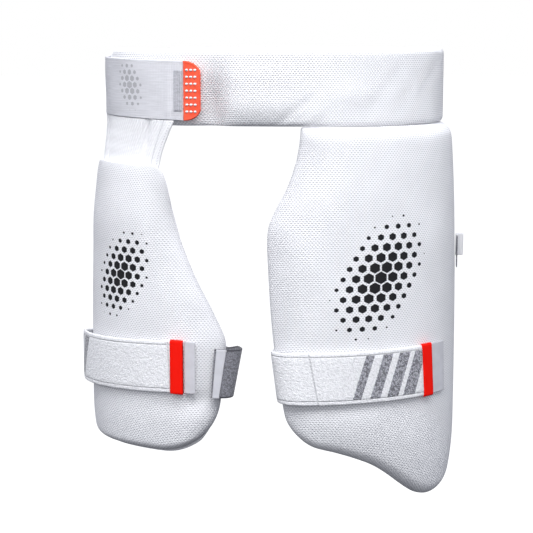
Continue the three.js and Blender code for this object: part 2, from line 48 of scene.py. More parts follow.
print("solids loaded:", len(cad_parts), "nodes")

# %% [markdown]
# ## The body form
#
# The real cloth is cut flat and then worn round the body. So each piece is drawn here on a flat
# pattern, with a distance along the girth and a height, and `on_form` lays it on an oval body.
# The same two numbers become the UV map, which keeps every weave at its true size.

# %% Lay a pattern on the body
HALF_WIDTH, HALF_DEPTH = 155.0, 100.0
LEFT_FLARE, RIGHT_FLARE, FLARE_REACH = 15.0, 7.5, 80.0
BAND_HALF = 35.0
SEAT = 0.4

turns = np.linspace(0, 2 * np.pi, 4001)
middles = (turns[1:] + turns[:-1]) / 2
steps = np.hypot(HALF_WIDTH * np.cos(middles), HALF_DEPTH * np.sin(middles)) * np.diff(turns)
arc = np.concatenate([[0.0], np.cumsum(steps)])
WAIST = float(arc[-1])


def on_form(girth, height, standoff):
    """Points in millimetres for girth distance, height and standoff from the body."""
    girth, height, standoff = np.broadcast_arrays(*(np.asarray(v, float) for v in (girth, height, standoff)))
    angle = np.sign(girth) * np.interp(np.abs(girth), arc, turns)
    widened = 1 - np.exp(-np.maximum(-height - BAND_HALF, 0) / FLARE_REACH)
    right = (1 + np.sin(angle)) / 2
    flare = (LEFT_FLARE + (RIGHT_FLARE - LEFT_FLARE) * right) * widened
    x = (HALF_WIDTH + flare + standoff) * np.sin(angle)
    y = -(HALF_DEPTH + standoff) * np.cos(angle)
    return np.stack([x, y, height], axis=-1)


def through_rows(rows):
    """Smooth curve through the rows of a small table."""
    at, value = np.array(rows, float).T
    before, after = np.r_[0, 0:len(at) - 1], np.r_[1:len(at), len(at) - 1]
    slopes = (value[after] - value[before]) / (at[after] - at[before])

    def curve(x):
        x = np.asarray(x, float)
        i = np.clip(np.searchsorted(at, x, side="left") - 1, 0, len(at) - 2)
        span, rise = at[i + 1] - at[i], value[i + 1] - value[i]
        t = np.clip((x - at[i]) / span, 0, 1)
        start, end = slopes[i] * span - rise, rise - slopes[i + 1] * span
        return value[i] + rise * t + t * (1 - t) * (start * (1 - t) + end * t)

    return curve


def roll(distance, radius):
    """Height of a rounded edge: 0 at the edge, 1 past the radius."""
    t = 1 - np.clip(distance / radius, 0, 1)
    return np.sqrt(1 - t * t)


def over_roll(distance, radius, rise):
    """Extra length of cloth between a point of a rounded edge and the flat face beside it."""
    turned = np.linspace(0, np.pi / 2, 60)
    pace = np.hypot(radius * np.sin(turned), rise * np.cos(turned))
    left = np.concatenate([np.cumsum((pace[::-1][1:] + pace[::-1][:-1]) / 2)[::-1], [0]]) * turned[1]
    at = radius * (1 - np.cos(turned))
    return np.interp(distance, at, left - (radius - at))


def rim_stations(length, radius, spacing, rim=7):
    """Stations along a length, close together in the rounded edge at each end."""
    edge = radius * (1 - np.cos(np.linspace(0, np.pi / 2, rim + 1)))
    middle = np.linspace(radius, length - radius, max(int((length - 2 * radius) / spacing), 2))
    return np.concatenate([edge[:-1], middle, (length - edge[:-1])[::-1]])


print(f"waist opening {WAIST:.0f} mm round")

# %% [markdown]
# ## Camera, floor and light
#
# The photograph was taken from just above the waist, straight on. A wide soft key light in front
# and above rounds the padding. Four weak lights fill the front, both sides and the back, and keep
# the edges a little darker than the middle, which is what makes white foam look thick.

# %% Camera
VIEW_TILT = math.radians(9.034)
VIEW_DISTANCE = 1.5
VIEW_TARGET = Vector((-0.0095, 0.0, -0.181))

camera_data = bpy.data.cameras.new("camera")
camera_data.sensor_width = 36.0
camera_data.lens = 36.0 * 1500.0 / 533.0
camera = bpy.data.objects.new("camera", camera_data)
scene.collection.objects.link(camera)
camera.location = VIEW_TARGET + VIEW_DISTANCE * Vector((0, -math.cos(VIEW_TILT), math.sin(VIEW_TILT)))
camera.rotation_euler = (math.pi / 2 - VIEW_TILT, 0, 0)
scene.camera = camera
print("camera", [round(v, 4) for v in camera.location])

# %% Floor, lights and background
FLOOR_HEIGHT = -0.95


def area_light(name, place, aim, size, power):
    data = bpy.data.lights.new(name, "AREA")
    data.shape = "RECTANGLE"
    data.size, data.size_y = size
    data.energy = power
    light = bpy.data.objects.new(name, data)
    scene.collection.objects.link(light)
    light.location = place
    light.rotation_euler = (Vector(aim) - Vector(place)).to_track_quat("-Z", "Y").to_euler()
    return light


area_light("key light", (0.05, -1.15, 1.5), (0, -0.1, -0.1), (1.6, 1.0), 45)
area_light("front fill", (0.05, -2.2, 0.4), (0, 0, -0.1), (0.8, 0.8), 7)
area_light("left fill", (-1.9, -0.8, 0.7), (0, 0, -0.15), (0.9, 0.9), 8)
area_light("right fill", (1.9, -0.7, 0.5), (0, 0, -0.15), (0.9, 0.9), 2.5)
area_light("back light", (0.0, 2.3, 0.7), (0, 0.1, -0.15), (1.2, 0.9), 10)

floor_mesh = bpy.data.meshes.new("floor")
floor_corners = [(x, y, FLOOR_HEIGHT) for x, y in ((-9, -9), (9, -9), (9, 30), (-9, 30))]
floor_mesh.from_pydata(floor_corners, [], [(0, 1, 2, 3)])
floor = bpy.data.objects.new("floor", floor_mesh)
scene.collection.objects.link(floor)
floor.visible_diffuse = False
floor.visible_glossy = False
pale = bpy.data.materials.new("pale floor")
pale.use_nodes = True
for label, value in {"Base Color": (0.2, 0.2, 0.2, 1), "Roughness": 1.0,
                     "Emission Color": (1, 1, 1, 1), "Emission Strength": 0.95}.items():
    pale.node_tree.nodes["Principled BSDF"].inputs[label].default_value = value
floor_mesh.materials.append(pale)

world = bpy.data.worlds.new("studio")
scene.world = world
world.use_nodes = True
sky = world.node_tree
sky.nodes["Background"].inputs["Color"].default_value = (0.84, 0.88, 1.0, 1)
direction = sky.nodes.new("ShaderNodeTexCoord")
rise = sky.nodes.new("ShaderNodeSeparateXYZ")
from_above = sky.nodes.new("ShaderNodeMapRange")
for label, value in {"From Min": -0.7, "From Max": 0.9, "To Min": 0.08, "To Max": 0.75}.items():
    from_above.inputs[label].default_value = value
sky.links.new(direction.outputs["Generated"], rise.inputs[0])
sky.links.new(rise.outputs["Z"], from_above.inputs["Value"])
sky.links.new(from_above.outputs["Result"], sky.nodes["Background"].inputs["Strength"])
seen = sky.nodes.new("ShaderNodeBackground")
seen.inputs["Strength"].default_value = 1.0
seen.inputs["Color"].default_value = (1, 1, 1, 1)
rays = sky.nodes.new("ShaderNodeLightPath")
choose = sky.nodes.new("ShaderNodeMixShader")
sky.links.new(rays.outputs["Is Camera Ray"], choose.inputs[0])
sky.links.new(sky.nodes["Background"].outputs[0], choose.inputs[1])
sky.links.new(seen.outputs[0], choose.inputs[2])
sky.links.new(choose.outputs[0], sky.nodes["World Output"].inputs["Surface"])
scene.view_settings.view_transform = "Standard"
print("floor at", FLOOR_HEIGHT, "m; lights:", len(bpy.data.lights))

# %% [markdown]
# ## Shader building blocks
#
# A cloth finish is a colour, a roughness and a small relief. The reliefs come back on several
# materials, so each is a node group with its sizes as inputs. They all read the UV map, in metres
# on the flat pattern, so a 2.8 mm mesh stays 2.8 mm over every curve.

# %% Small helpers for nodes
def link_or_set(tree, socket, value):
    if isinstance(value, bpy.types.NodeSocket):
        tree.links.new(value, socket)
    else:
        socket.default_value = value


def node(tree, kind, inputs=None, **settings):
    made = tree.nodes.new(kind)
    for key, value in settings.items():
        setattr(made, key, value)
    for key, value in (inputs or {}).items():
        link_or_set(tree, made.inputs[key], value)
    return made


def maths(tree, operation, *values):
    made = tree.nodes.new("ShaderNodeMath")
    made.operation = operation
    for socket, value in zip(made.inputs, values):
        link_or_set(tree, socket, value)
    return made.outputs[0]


def ramp(tree, value, low, high):
    """0 below low, 1 above high; low may be the larger of the two."""
    made = node(tree, "ShaderNodeMapRange", {"Value": value}, interpolation_type="SMOOTHSTEP")
    made.inputs["From Min"].default_value = low
    made.inputs["From Max"].default_value = high
    return made.outputs["Result"]


def shader_group(name, inputs, outputs):
    tree = bpy.data.node_groups.new(name, "ShaderNodeTree")
    for label, kind, default in inputs:
        socket = tree.interface.new_socket(label, in_out="INPUT", socket_type="NodeSocket" + kind)
        socket.default_value = default
    for label in outputs:
        tree.interface.new_socket(label, in_out="OUTPUT", socket_type="NodeSocketFloat")
    given = tree.nodes.new("NodeGroupInput").outputs
    result = tree.nodes.new("NodeGroupOutput").inputs
    return tree, given, result


def use_group(tree, group, inputs):
    made = tree.nodes.new("ShaderNodeGroup")
    made.node_tree = group
    for key, value in inputs.items():
        link_or_set(tree, made.inputs[key], value)
    return made.outputs


# %% Open mesh: staggered rows of small holes
open_mesh, given, result = shader_group(
    "open mesh",
    [("Place", "Vector", (0, 0, 0)), ("Across", "Float", 0.0028), ("Down", "Float", 0.0018)],
    ["Hole"],
)
tree = open_mesh
split = node(tree, "ShaderNodeSeparateXYZ", {"Vector": given["Place"]}).outputs
column = maths(tree, "DIVIDE", split["X"], given["Across"])
row = maths(tree, "DIVIDE", split["Y"], given["Down"])
odd = maths(tree, "FLOORED_MODULO", maths(tree, "FLOOR", row), 2.0)
shifted = maths(tree, "MULTIPLY_ADD", odd, 0.5, column)
x = maths(tree, "SUBTRACT", maths(tree, "FRACT", shifted), 0.5)
y = maths(tree, "SUBTRACT", maths(tree, "FRACT", row), 0.5)
far = maths(tree, "SQRT", maths(tree, "ADD", maths(tree, "MULTIPLY", x, x), maths(tree, "MULTIPLY", y, y)))
tree.links.new(ramp(tree, far, 0.45, 0.15), result["Hole"])

# %% Terry loops: soft, uneven, about a millimetre across
terry, given, result = shader_group(
    "terry loops",
    [("Place", "Vector", (0, 0, 0)), ("Loop", "Float", 0.0011)],
    ["Height"],
)
tree = terry
scale = maths(tree, "DIVIDE", 1.0, given["Loop"])
loops = node(tree, "ShaderNodeTexVoronoi", {"Vector": given["Place"], "Scale": scale}).outputs["Distance"]
tufts = node(tree, "ShaderNodeTexNoise", {"Vector": given["Place"], "Scale": maths(tree, "MULTIPLY", scale, 0.45),
                                          "Detail": 3.0, "Roughness": 0.65}).outputs["Fac"]
mixed = maths(tree, "ADD", maths(tree, "MULTIPLY", loops, -0.6), maths(tree, "MULTIPLY", tufts, 1.2))
tree.links.new(maths(tree, "ADD", mixed, 0.2), result["Height"])

# %% Plain weave: threads both ways
weave, given, result = shader_group(
    "plain weave",
    [("Place", "Vector", (0, 0, 0)), ("Across", "Float", 0.001), ("Down", "Float", 0.001)],
    ["Height"],
)
tree = weave
split = node(tree, "ShaderNodeSeparateXYZ", {"Vector": given["Place"]}).outputs
waves = [
    maths(tree, "SINE", maths(tree, "MULTIPLY", maths(tree, "DIVIDE", split[axis], given[pitch]), 2 * math.pi))
    for axis, pitch in (("X", "Across"), ("Y", "Down"))
]
tree.links.new(maths(tree, "MULTIPLY_ADD", maths(tree, "ADD", *waves), 0.25, 0.5), result["Height"])

# %% Hexagon print: a patch of hexagons that shrink toward its rim
hexagons, given, result = shader_group(
    "hexagon print",
    [("Place", "Vector", (0, 0, 0)), ("Centre", "Vector", (0, 0, 0)), ("Reach", "Float", 0.04),
     ("Cell", "Float", 0.009), ("Slant", "Float", 0.5), ("Full", "Float", 0.5)],
    ["Mask"],
)
tree = hexagons
from_centre = node(tree, "ShaderNodeVectorMath", {0: given["Place"], 1: given["Centre"]}, operation="SUBTRACT")
split = node(tree, "ShaderNodeSeparateXYZ", {"Vector": from_centre.outputs["Vector"]}).outputs
u = maths(tree, "DIVIDE", split["X"], given["Cell"])
v = maths(tree, "DIVIDE", split["Y"], given["Cell"])
ROW = math.sqrt(3)


def nearest(shift_u, shift_v):
    """Offset from the nearest centre of one of the two nets of hexagons, and how far off it is."""
    a, b = maths(tree, "SUBTRACT", u, shift_u), maths(tree, "SUBTRACT", v, shift_v)
    du = maths(tree, "SUBTRACT", a, maths(tree, "ROUND", a))
    rows_b = maths(tree, "DIVIDE", b, ROW)
    dv = maths(tree, "MULTIPLY", maths(tree, "SUBTRACT", rows_b, maths(tree, "ROUND", rows_b)), ROW)
    off = maths(tree, "ADD", maths(tree, "MULTIPLY", du, du), maths(tree, "MULTIPLY", dv, dv))
    return du, dv, off


first, second = nearest(0.0, 0.0), nearest(0.5, ROW / 2)
second_is_nearer = maths(tree, "LESS_THAN", second[2], first[2])


def chosen(i):
    difference = maths(tree, "SUBTRACT", second[i], first[i])
    return maths(tree, "MULTIPLY_ADD", difference, second_is_nearer, first[i])


du, dv = chosen(0), chosen(1)
wide = maths(tree, "ABSOLUTE", du)
tall = maths(tree, "ABSOLUTE", dv)
corner = maths(tree, "MULTIPLY_ADD", tall, ROW / 2, maths(tree, "MULTIPLY", wide, 0.5))
hex_distance = maths(tree, "MAXIMUM", wide, corner)
cell_u, cell_v = maths(tree, "SUBTRACT", u, du), maths(tree, "SUBTRACT", v, dv)
leaned = maths(tree, "MULTIPLY_ADD", cell_v, given["Slant"], cell_u)
spread = maths(tree, "SQRT", maths(tree, "ADD", maths(tree, "MULTIPLY", leaned, leaned),
                                   maths(tree, "MULTIPLY", maths(tree, "MULTIPLY", cell_v, cell_v), 0.45)))
out_share = maths(tree, "DIVIDE", maths(tree, "MULTIPLY", spread, given["Cell"]), given["Reach"])
left_over = maths(tree, "MAXIMUM", maths(tree, "SUBTRACT", 1.0, out_share), 0.0)
size = maths(tree, "MULTIPLY", given["Full"], maths(tree, "SQRT", left_over))
tree.links.new(ramp(tree, maths(tree, "SUBTRACT", size, hex_distance), -0.01, 0.02), result["Mask"])
print("groups:", [g.name for g in bpy.data.node_groups])

# %% [markdown]
# ## Finishes
#
# Each finish is one Principled shader with its own relief. White polyester is never pure white:
# washing leaves it faintly uneven. Painted shade darkens the holes of the mesh below the threads,
# and more painted shade greys the guards toward their front edges; an attribute on the mesh says where.

# %% Start a finish
def start_finish(name, roughness=0.8, sheen=0.0, specular=0.3):
    material = bpy.data.materials.new(name)
    material.use_nodes = True
    tree = material.node_tree
    shader = tree.nodes["Principled BSDF"]
    shader.inputs["Roughness"].default_value = roughness
    shader.inputs["Sheen Weight"].default_value = sheen
    shader.inputs["Specular IOR Level"].default_value = specular
    place = node(tree, "ShaderNodeUVMap", uv_map="cloth").outputs["UV"]
    return material, tree, shader, place


def mix_colour(tree, factor, low, high):
    made = tree.nodes.new("ShaderNodeMix")
    made.data_type = "RGBA"
    colours = [s for s in made.inputs if s.type == "RGBA"]
    link_or_set(tree, made.inputs[0], factor)
    link_or_set(tree, colours[0], low)
    link_or_set(tree, colours[1], high)
    return [s for s in made.outputs if s.type == "RGBA"][0]


def relief(tree, shader, height, distance, strength):
    bump = node(tree, "ShaderNodeBump", {"Height": height, "Distance": distance, "Strength": strength})
    tree.links.new(bump.outputs["Normal"], shader.inputs["Normal"])


def mottled(tree, place, scale, low, high):
    """Slow unevenness of a cloth, as a colour between two."""
    noise = node(tree, "ShaderNodeTexNoise", {"Vector": place, "Scale": scale, "Detail": 3.0}).outputs["Fac"]
    return mix_colour(tree, ramp(tree, noise, 0.3, 0.7), low, high)


def grey(value, blue=1.02):
    return (value, value, min(value * blue, 1.0), 1)


def line_mask(tree, value, at, half):
    """1 on a thin line where the value is near a number, fading out on both sides."""
    off = maths(tree, "ABSOLUTE", maths(tree, "SUBTRACT", value, at))
    return ramp(tree, off, half, half * 0.3)


# %% White mesh of the band and the guards
MESH_ACROSS, MESH_DOWN = 0.0028, 0.0018
EDGE_SHADE_SHARE = 0.4


def mesh_finish(name, prints):
    material, tree, shader, place = start_finish(name, roughness=0.75, specular=0.25)
    hole = use_group(tree, open_mesh, {"Place": place, "Across": MESH_ACROSS, "Down": MESH_DOWN})["Hole"]
    edge_shade_amount = node(tree, "ShaderNodeAttribute", attribute_name="painted_edge_shade").outputs["Fac"]
    unshaded = mottled(tree, place, 28.0, grey(0.89), grey(0.94))
    # Painted shade: the threads grey toward a bluish grey near the guards' front edges, as much as the mesh attribute
    # says.
    thread = mix_colour(tree, maths(tree, "MULTIPLY", edge_shade_amount, EDGE_SHADE_SHARE), unshaded, grey(0.5, 1.06))
    # Painted shade: the holes of the mesh darken toward a bluish grey.
    colour = mix_colour(tree, maths(tree, "MULTIPLY", hole, 0.62), thread, grey(0.42, 1.06))
    for settings in prints:
        mask = use_group(tree, hexagons, {"Place": place, **settings})["Mask"]
        colour = mix_colour(tree, mask, colour, (0.012, 0.012, 0.014, 1))
    tree.links.new(colour, shader.inputs["Base Color"])
    relief(tree, shader, maths(tree, "SUBTRACT", 1.0, hole), 0.0004, 0.6)
    return material


band_cloth = mesh_finish("band mesh", [])
guard_cloth = mesh_finish("guard mesh", [
    {"Centre": (0.086, -0.176, 0), "Reach": 0.040, "Cell": 0.0110, "Slant": -0.35, "Full": 0.48},
    {"Centre": (-0.137, -0.178, 0), "Reach": 0.030, "Cell": 0.0094, "Slant": -0.3, "Full": 0.48},
])

# %% Grey elastic of the tab, with hexagons woven in
tab_cloth, tree, shader, place = start_finish("tab elastic", roughness=0.6, sheen=0.1)
threads = use_group(tree, weave, {"Place": place, "Across": 0.0016, "Down": 0.0009})["Height"]
drawn_out = node(tree, "ShaderNodeMapping", {"Vector": place, "Scale": (60, 1100, 1)}).outputs["Vector"]
slubs = node(tree, "ShaderNodeTexNoise", {"Vector": drawn_out, "Scale": 1.0, "Detail": 2.0}).outputs["Fac"]
motif = use_group(tree, hexagons, {"Place": place, "Centre": (-0.139, 0.002, 0), "Reach": 0.0165,
                                   "Cell": 0.0068, "Slant": 0.15, "Full": 0.47})["Mask"]
uneven = ramp(tree, slubs, 0.25, 0.75)
base = mix_colour(tree, uneven, grey(0.64, 1.05), grey(0.75, 1.05))
woven = mix_colour(tree, uneven, grey(0.40, 1.06), grey(0.48, 1.06))
tree.links.new(mix_colour(tree, motif, base, woven), shader.inputs["Base Color"])
relief(tree, shader, threads, 0.0003, 0.8)

# %% Stitching, badge, knit and backing
thread_finish, tree, shader, place = start_finish("thread", roughness=0.5, sheen=0.2)
twist = use_group(tree, weave, {"Place": place, "Across": 0.0006, "Down": 0.0006})["Height"]
tree.links.new(mix_colour(tree, twist, grey(0.66), grey(0.78)), shader.inputs["Base Color"])

bar_finish, tree, shader, place = start_finish("bar stitching", roughness=0.55, sheen=0.1)
rows = use_group(tree, weave, {"Place": place, "Across": 0.0021, "Down": 0.0013})["Height"]
specks = use_group(tree, terry, {"Place": place, "Loop": 0.0012})["Height"]
bar_threads = maths(tree, "ADD", maths(tree, "MULTIPLY", rows, 0.5), maths(tree, "MULTIPLY", specks, 0.6))
tree.links.new(mix_colour(tree, bar_threads, grey(0.26, 1.08), grey(0.62, 1.08)), shader.inputs["Base Color"])
relief(tree, shader, bar_threads, 0.0004, 0.8)

badge_finish, tree, shader, place = start_finish("badge rubber", roughness=0.42, specular=0.4)
grain = node(tree, "ShaderNodeTexNoise", {"Vector": place, "Scale": 1400.0, "Detail": 2.0}).outputs["Fac"]
orange = mottled(tree, place, 120.0, (0.90, 0.085, 0.035, 1), (0.95, 0.115, 0.055, 1))
tree.links.new(orange, shader.inputs["Base Color"])
relief(tree, shader, grain, 0.0001, 0.4)

grip_finish, tree, shader, place = start_finish("grip rubber", roughness=0.45)
tree.links.new(mottled(tree, place, 200.0, grey(0.80), grey(0.86)), shader.inputs["Base Color"])

knit_finish, tree, shader, place = start_finish("ribbed knit", roughness=0.85, sheen=0.15)
split = node(tree, "ShaderNodeSeparateXYZ", {"Vector": place}).outputs
leaned = node(tree, "ShaderNodeCombineXYZ", {"X": maths(tree, "MULTIPLY_ADD", split["Y"], 0.22, split["X"]),
                                             "Y": split["Y"]}).outputs["Vector"]
stitch_rows = use_group(tree, weave, {"Place": leaned, "Across": 0.0026, "Down": 0.0012})["Height"]
knitted = mix_colour(tree, stitch_rows, grey(0.82), grey(0.98))
# Painted shade: grey dashes along the stitch line and a grey line at the hem's edge.
dash = ramp(tree, maths(tree, "FRACT", maths(tree, "DIVIDE", split["Y"], 0.0026)), 0.4, 0.5)
sewn = maths(tree, "MULTIPLY", line_mask(tree, split["X"], 0.0024, 0.0007), dash)
hem_painted_shade = maths(tree, "MAXIMUM", line_mask(tree, split["X"], 0.0085, 0.0009), sewn)
tree.links.new(mix_colour(tree, maths(tree, "MULTIPLY", hem_painted_shade, 0.4), knitted, grey(0.35, 1.08)),
               shader.inputs["Base Color"])
relief(tree, shader, stitch_rows, 0.0004, 0.6)

backing_finish, tree, shader, place = start_finish("backing cloth", roughness=0.9)
cloth = use_group(tree, weave, {"Place": place, "Across": 0.0012, "Down": 0.0012})["Height"]
tree.links.new(mottled(tree, place, 90.0, grey(0.80), grey(0.84)), shader.inputs["Base Color"])
relief(tree, shader, cloth, 0.0002, 0.5)

# %% White terry of the straps, with slanted grey bars woven in
def strap_finish(name, start, end, bars, seam):
    """Terry with a run of slanted grey bars between two distances from the strap's end, in metres."""
    material, tree, shader, place = start_finish(name, roughness=0.95, sheen=0.4, specular=0.15)
    split = node(tree, "ShaderNodeSeparateXYZ", {"Vector": place}).outputs
    pile = use_group(tree, terry, {"Place": place, "Loop": 0.0013})["Height"]
    hem = line_mask(tree, maths(tree, "ABSOLUTE", split["Y"]), 0.0211, 0.0009)
    sewn = line_mask(tree, maths(tree, "MULTIPLY_ADD", split["Y"], -0.06, split["X"]), seam, 0.0010)
    groove = maths(tree, "MAXIMUM", hem, sewn)
    fuzz = node(tree, "ShaderNodeTexNoise", {"Vector": place, "Scale": 700.0, "Detail": 2.0}).outputs["Fac"]
    slanted = maths(tree, "ADD", maths(tree, "MULTIPLY_ADD", split["Y"], 0.42, split["X"]),
                    maths(tree, "MULTIPLY", fuzz, 0.0016))
    inside_hem = ramp(tree, maths(tree, "ABSOLUTE", split["Y"]), 0.0212, 0.0206)
    along = maths(tree, "DIVIDE", maths(tree, "SUBTRACT", slanted, start), end - start)
    window = maths(tree, "MULTIPLY", ramp(tree, along, -0.005, 0.005), ramp(tree, along, 1.005, 0.995))
    within = maths(tree, "FRACT", maths(tree, "MULTIPLY", along, float(bars)))
    filled = maths(tree, "MULTIPLY_ADD", along, -0.42, 0.8)
    bar = ramp(tree, maths(tree, "SUBTRACT", filled, within), -0.03, 0.03)
    dye = maths(tree, "MULTIPLY", maths(tree, "MULTIPLY", window, bar), inside_hem)
    white_pile = mix_colour(tree, ramp(tree, pile, 0.25, 0.75), grey(0.79), grey(0.94))
    grey_pile = mix_colour(tree, ramp(tree, pile, 0.3, 0.7), grey(0.15, 1.1), grey(0.46, 1.1))
    dyed = mix_colour(tree, dye, white_pile, grey_pile)
    # Painted shade: the hem lines and the sewn cross seam darken toward a bluish grey.
    shaded = mix_colour(tree, maths(tree, "MULTIPLY", groove, 0.36), dyed, grey(0.30, 1.08))
    tree.links.new(shaded, shader.inputs["Base Color"])
    relief(tree, shader, maths(tree, "MULTIPLY_ADD", groove, -0.8, pile), 0.0009, 0.7)
    return material


large_strap_cloth = strap_finish("large strap terry", 0.004, 0.082, 4, 0.114)
small_strap_cloth = strap_finish("small strap terry", 0.119, 0.181, 3, 0.001)

# %% Bindings, smooth patches, grey elastic and webbing
binding_finish, tree, shader, place = start_finish("red binding", roughness=0.55, specular=0.12)
grain = use_group(tree, weave, {"Place": place, "Across": 0.0008, "Down": 0.0008})["Height"]
red = mix_colour(tree, grain, (0.93, 0.006, 0.001, 1), (0.98, 0.010, 0.003, 1))
tree.links.new(red, shader.inputs["Base Color"])
relief(tree, shader, grain, 0.0001, 0.5)

patch_finish, tree, shader, place = start_finish("smooth patch", roughness=0.5, specular=0.35)
fine = use_group(tree, weave, {"Place": place, "Across": 0.0009, "Down": 0.0009})["Height"]
tree.links.new(mottled(tree, place, 90.0, grey(0.60, 1.06), grey(0.66, 1.06)), shader.inputs["Base Color"])
relief(tree, shader, fine, 0.00008, 0.4)

elastic_finish, tree, shader, place = start_finish("grey elastic", roughness=0.9, sheen=0.3)
split = node(tree, "ShaderNodeSeparateXYZ", {"Vector": place}).outputs
brushed = use_group(tree, terry, {"Place": place, "Loop": 0.0009})["Height"]
# Painted shade: both edges of the tape darken to near black.
edge = ramp(tree, maths(tree, "ABSOLUTE", split["Y"]), 0.0212, 0.0226)
body = mix_colour(tree, ramp(tree, brushed, 0.25, 0.75), grey(0.13, 1.12), grey(0.30, 1.12))
tree.links.new(mix_colour(tree, edge, body, grey(0.05, 1.2)), shader.inputs["Base Color"])
relief(tree, shader, brushed, 0.0004, 0.7)

webbing_finish, tree, shader, place = start_finish("white webbing", roughness=0.7)
ribs = use_group(tree, weave, {"Place": place, "Across": 0.0014, "Down": 0.0011})["Height"]
tree.links.new(mix_colour(tree, ribs, grey(0.7), grey(0.85)), shader.inputs["Base Color"])
relief(tree, shader, ribs, 0.0003, 0.8)
print("finishes:", [m.name for m in bpy.data.materials])

# %% [markdown]
# ## Making a cloth solid
#
# Every piece is a wall of cloth: an outer grid of points, an inner grid, and edges that close it.
# `cloth_mesh` joins the two grids, stores the pattern distances in the UV map and turns the faces
# outward. `wear` then hangs the piece on the root and hides the solid it stands for.

# %% Build and place a piece
INNER_SHIFT = 3.0


def cloth_mesh(name, outer, inner, pattern, material, lining=None, painted_edge_shade=None):
    """Closed mesh between two grids in millimetres, with the flat pattern as its UV map.

    The inner side lies metres away on the pattern, so no print or woven motif shows through there.
    """
    rows, columns = outer.shape[:2]
    places = np.concatenate([outer.reshape(-1, 3), inner.reshape(-1, 3)]) * 0.001
    flat = pattern * 0.001
    wall = np.linalg.norm(outer - inner, axis=-1) * 0.001
    index = np.arange(rows * columns).reshape(rows, columns)
    under = index + rows * columns

    def quads(a, b):
        return np.stack([a[:-1], a[1:], b[1:], b[:-1]], axis=1)

    def past(edge, nearer, rise):
        """The pattern carried on over the wall of a border, away from its neighbour line."""
        away = edge - nearer
        away = away / np.maximum(np.linalg.norm(away, axis=-1, keepdims=True), 1e-9)
        return edge + away * rise[:, None]

    faces = np.concatenate([
        np.stack([index[:-1, :-1], index[1:, :-1], index[1:, 1:], index[:-1, 1:]], -1).reshape(-1, 4),
        np.stack([under[:-1, :-1], under[:-1, 1:], under[1:, 1:], under[1:, :-1]], -1).reshape(-1, 4),
        quads(under[:, 0], index[:, 0]), quads(index[:, -1], under[:, -1]),
        quads(index[0], under[0]), quads(under[-1], index[-1]),
    ])
    mesh = bpy.data.meshes.new(name)
    mesh.from_pydata(places.tolist(), [], faces.tolist())
    layer = mesh.uv_layers.new(name="cloth")
    shown = flat.reshape(-1, 2)[faces[:(rows - 1) * (columns - 1)]]
    hidden = flat.reshape(-1, 2)[faces[len(shown):2 * len(shown)] - rows * columns] + (INNER_SHIFT, 0)
    laid = np.concatenate([
        shown, hidden,
        quads(past(flat[:, 0], flat[:, 1], wall[:, 0]), flat[:, 0]),
        quads(flat[:, -1], past(flat[:, -1], flat[:, -2], wall[:, -1])),
        quads(flat[0], past(flat[0], flat[1], wall[0])),
        quads(past(flat[-1], flat[-2], wall[-1]), flat[-1]),
    ])
    layer.data.foreach_set("uv", laid.astype(np.float32).ravel())
    # Painted shade: a share of darkening for each point, stored for the mesh finish.
    if painted_edge_shade is not None:
        edge_shade_layer = mesh.attributes.new("painted_edge_shade", "FLOAT", "POINT")
        edge_shade_layer.data.foreach_set("value", np.tile(painted_edge_shade.ravel(), 2).astype(np.float32))
    if lining is not None:
        side = np.zeros(len(faces), dtype=np.int32)
        side[len(shown):2 * len(shown)] = 1
        mesh.polygons.foreach_set("material_index", side)
    piece = bpy.data.objects.new(name, mesh)
    scene.collection.objects.link(piece)
    shape = bmesh.new()
    shape.from_mesh(mesh)
    bmesh.ops.remove_doubles(shape, verts=shape.verts, dist=1e-6)
    bmesh.ops.recalc_face_normals(shape, faces=shape.faces)
    shape.to_mesh(mesh)
    shape.free()
    mesh.shade_smooth()
    mesh.materials.append(material)
    if lining is not None:
        mesh.materials.append(lining)
    return piece


def wear(piece, slot, *nodes):
    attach(piece, "root")
    if nodes:
        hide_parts(*nodes)
    print(piece.name, len(piece.data.polygons), "faces")
    return piece


def subdivide(piece, levels=1):
    finer = piece.modifiers.new("finer", "SUBSURF")
    finer.levels = finer.render_levels = levels
    return piece


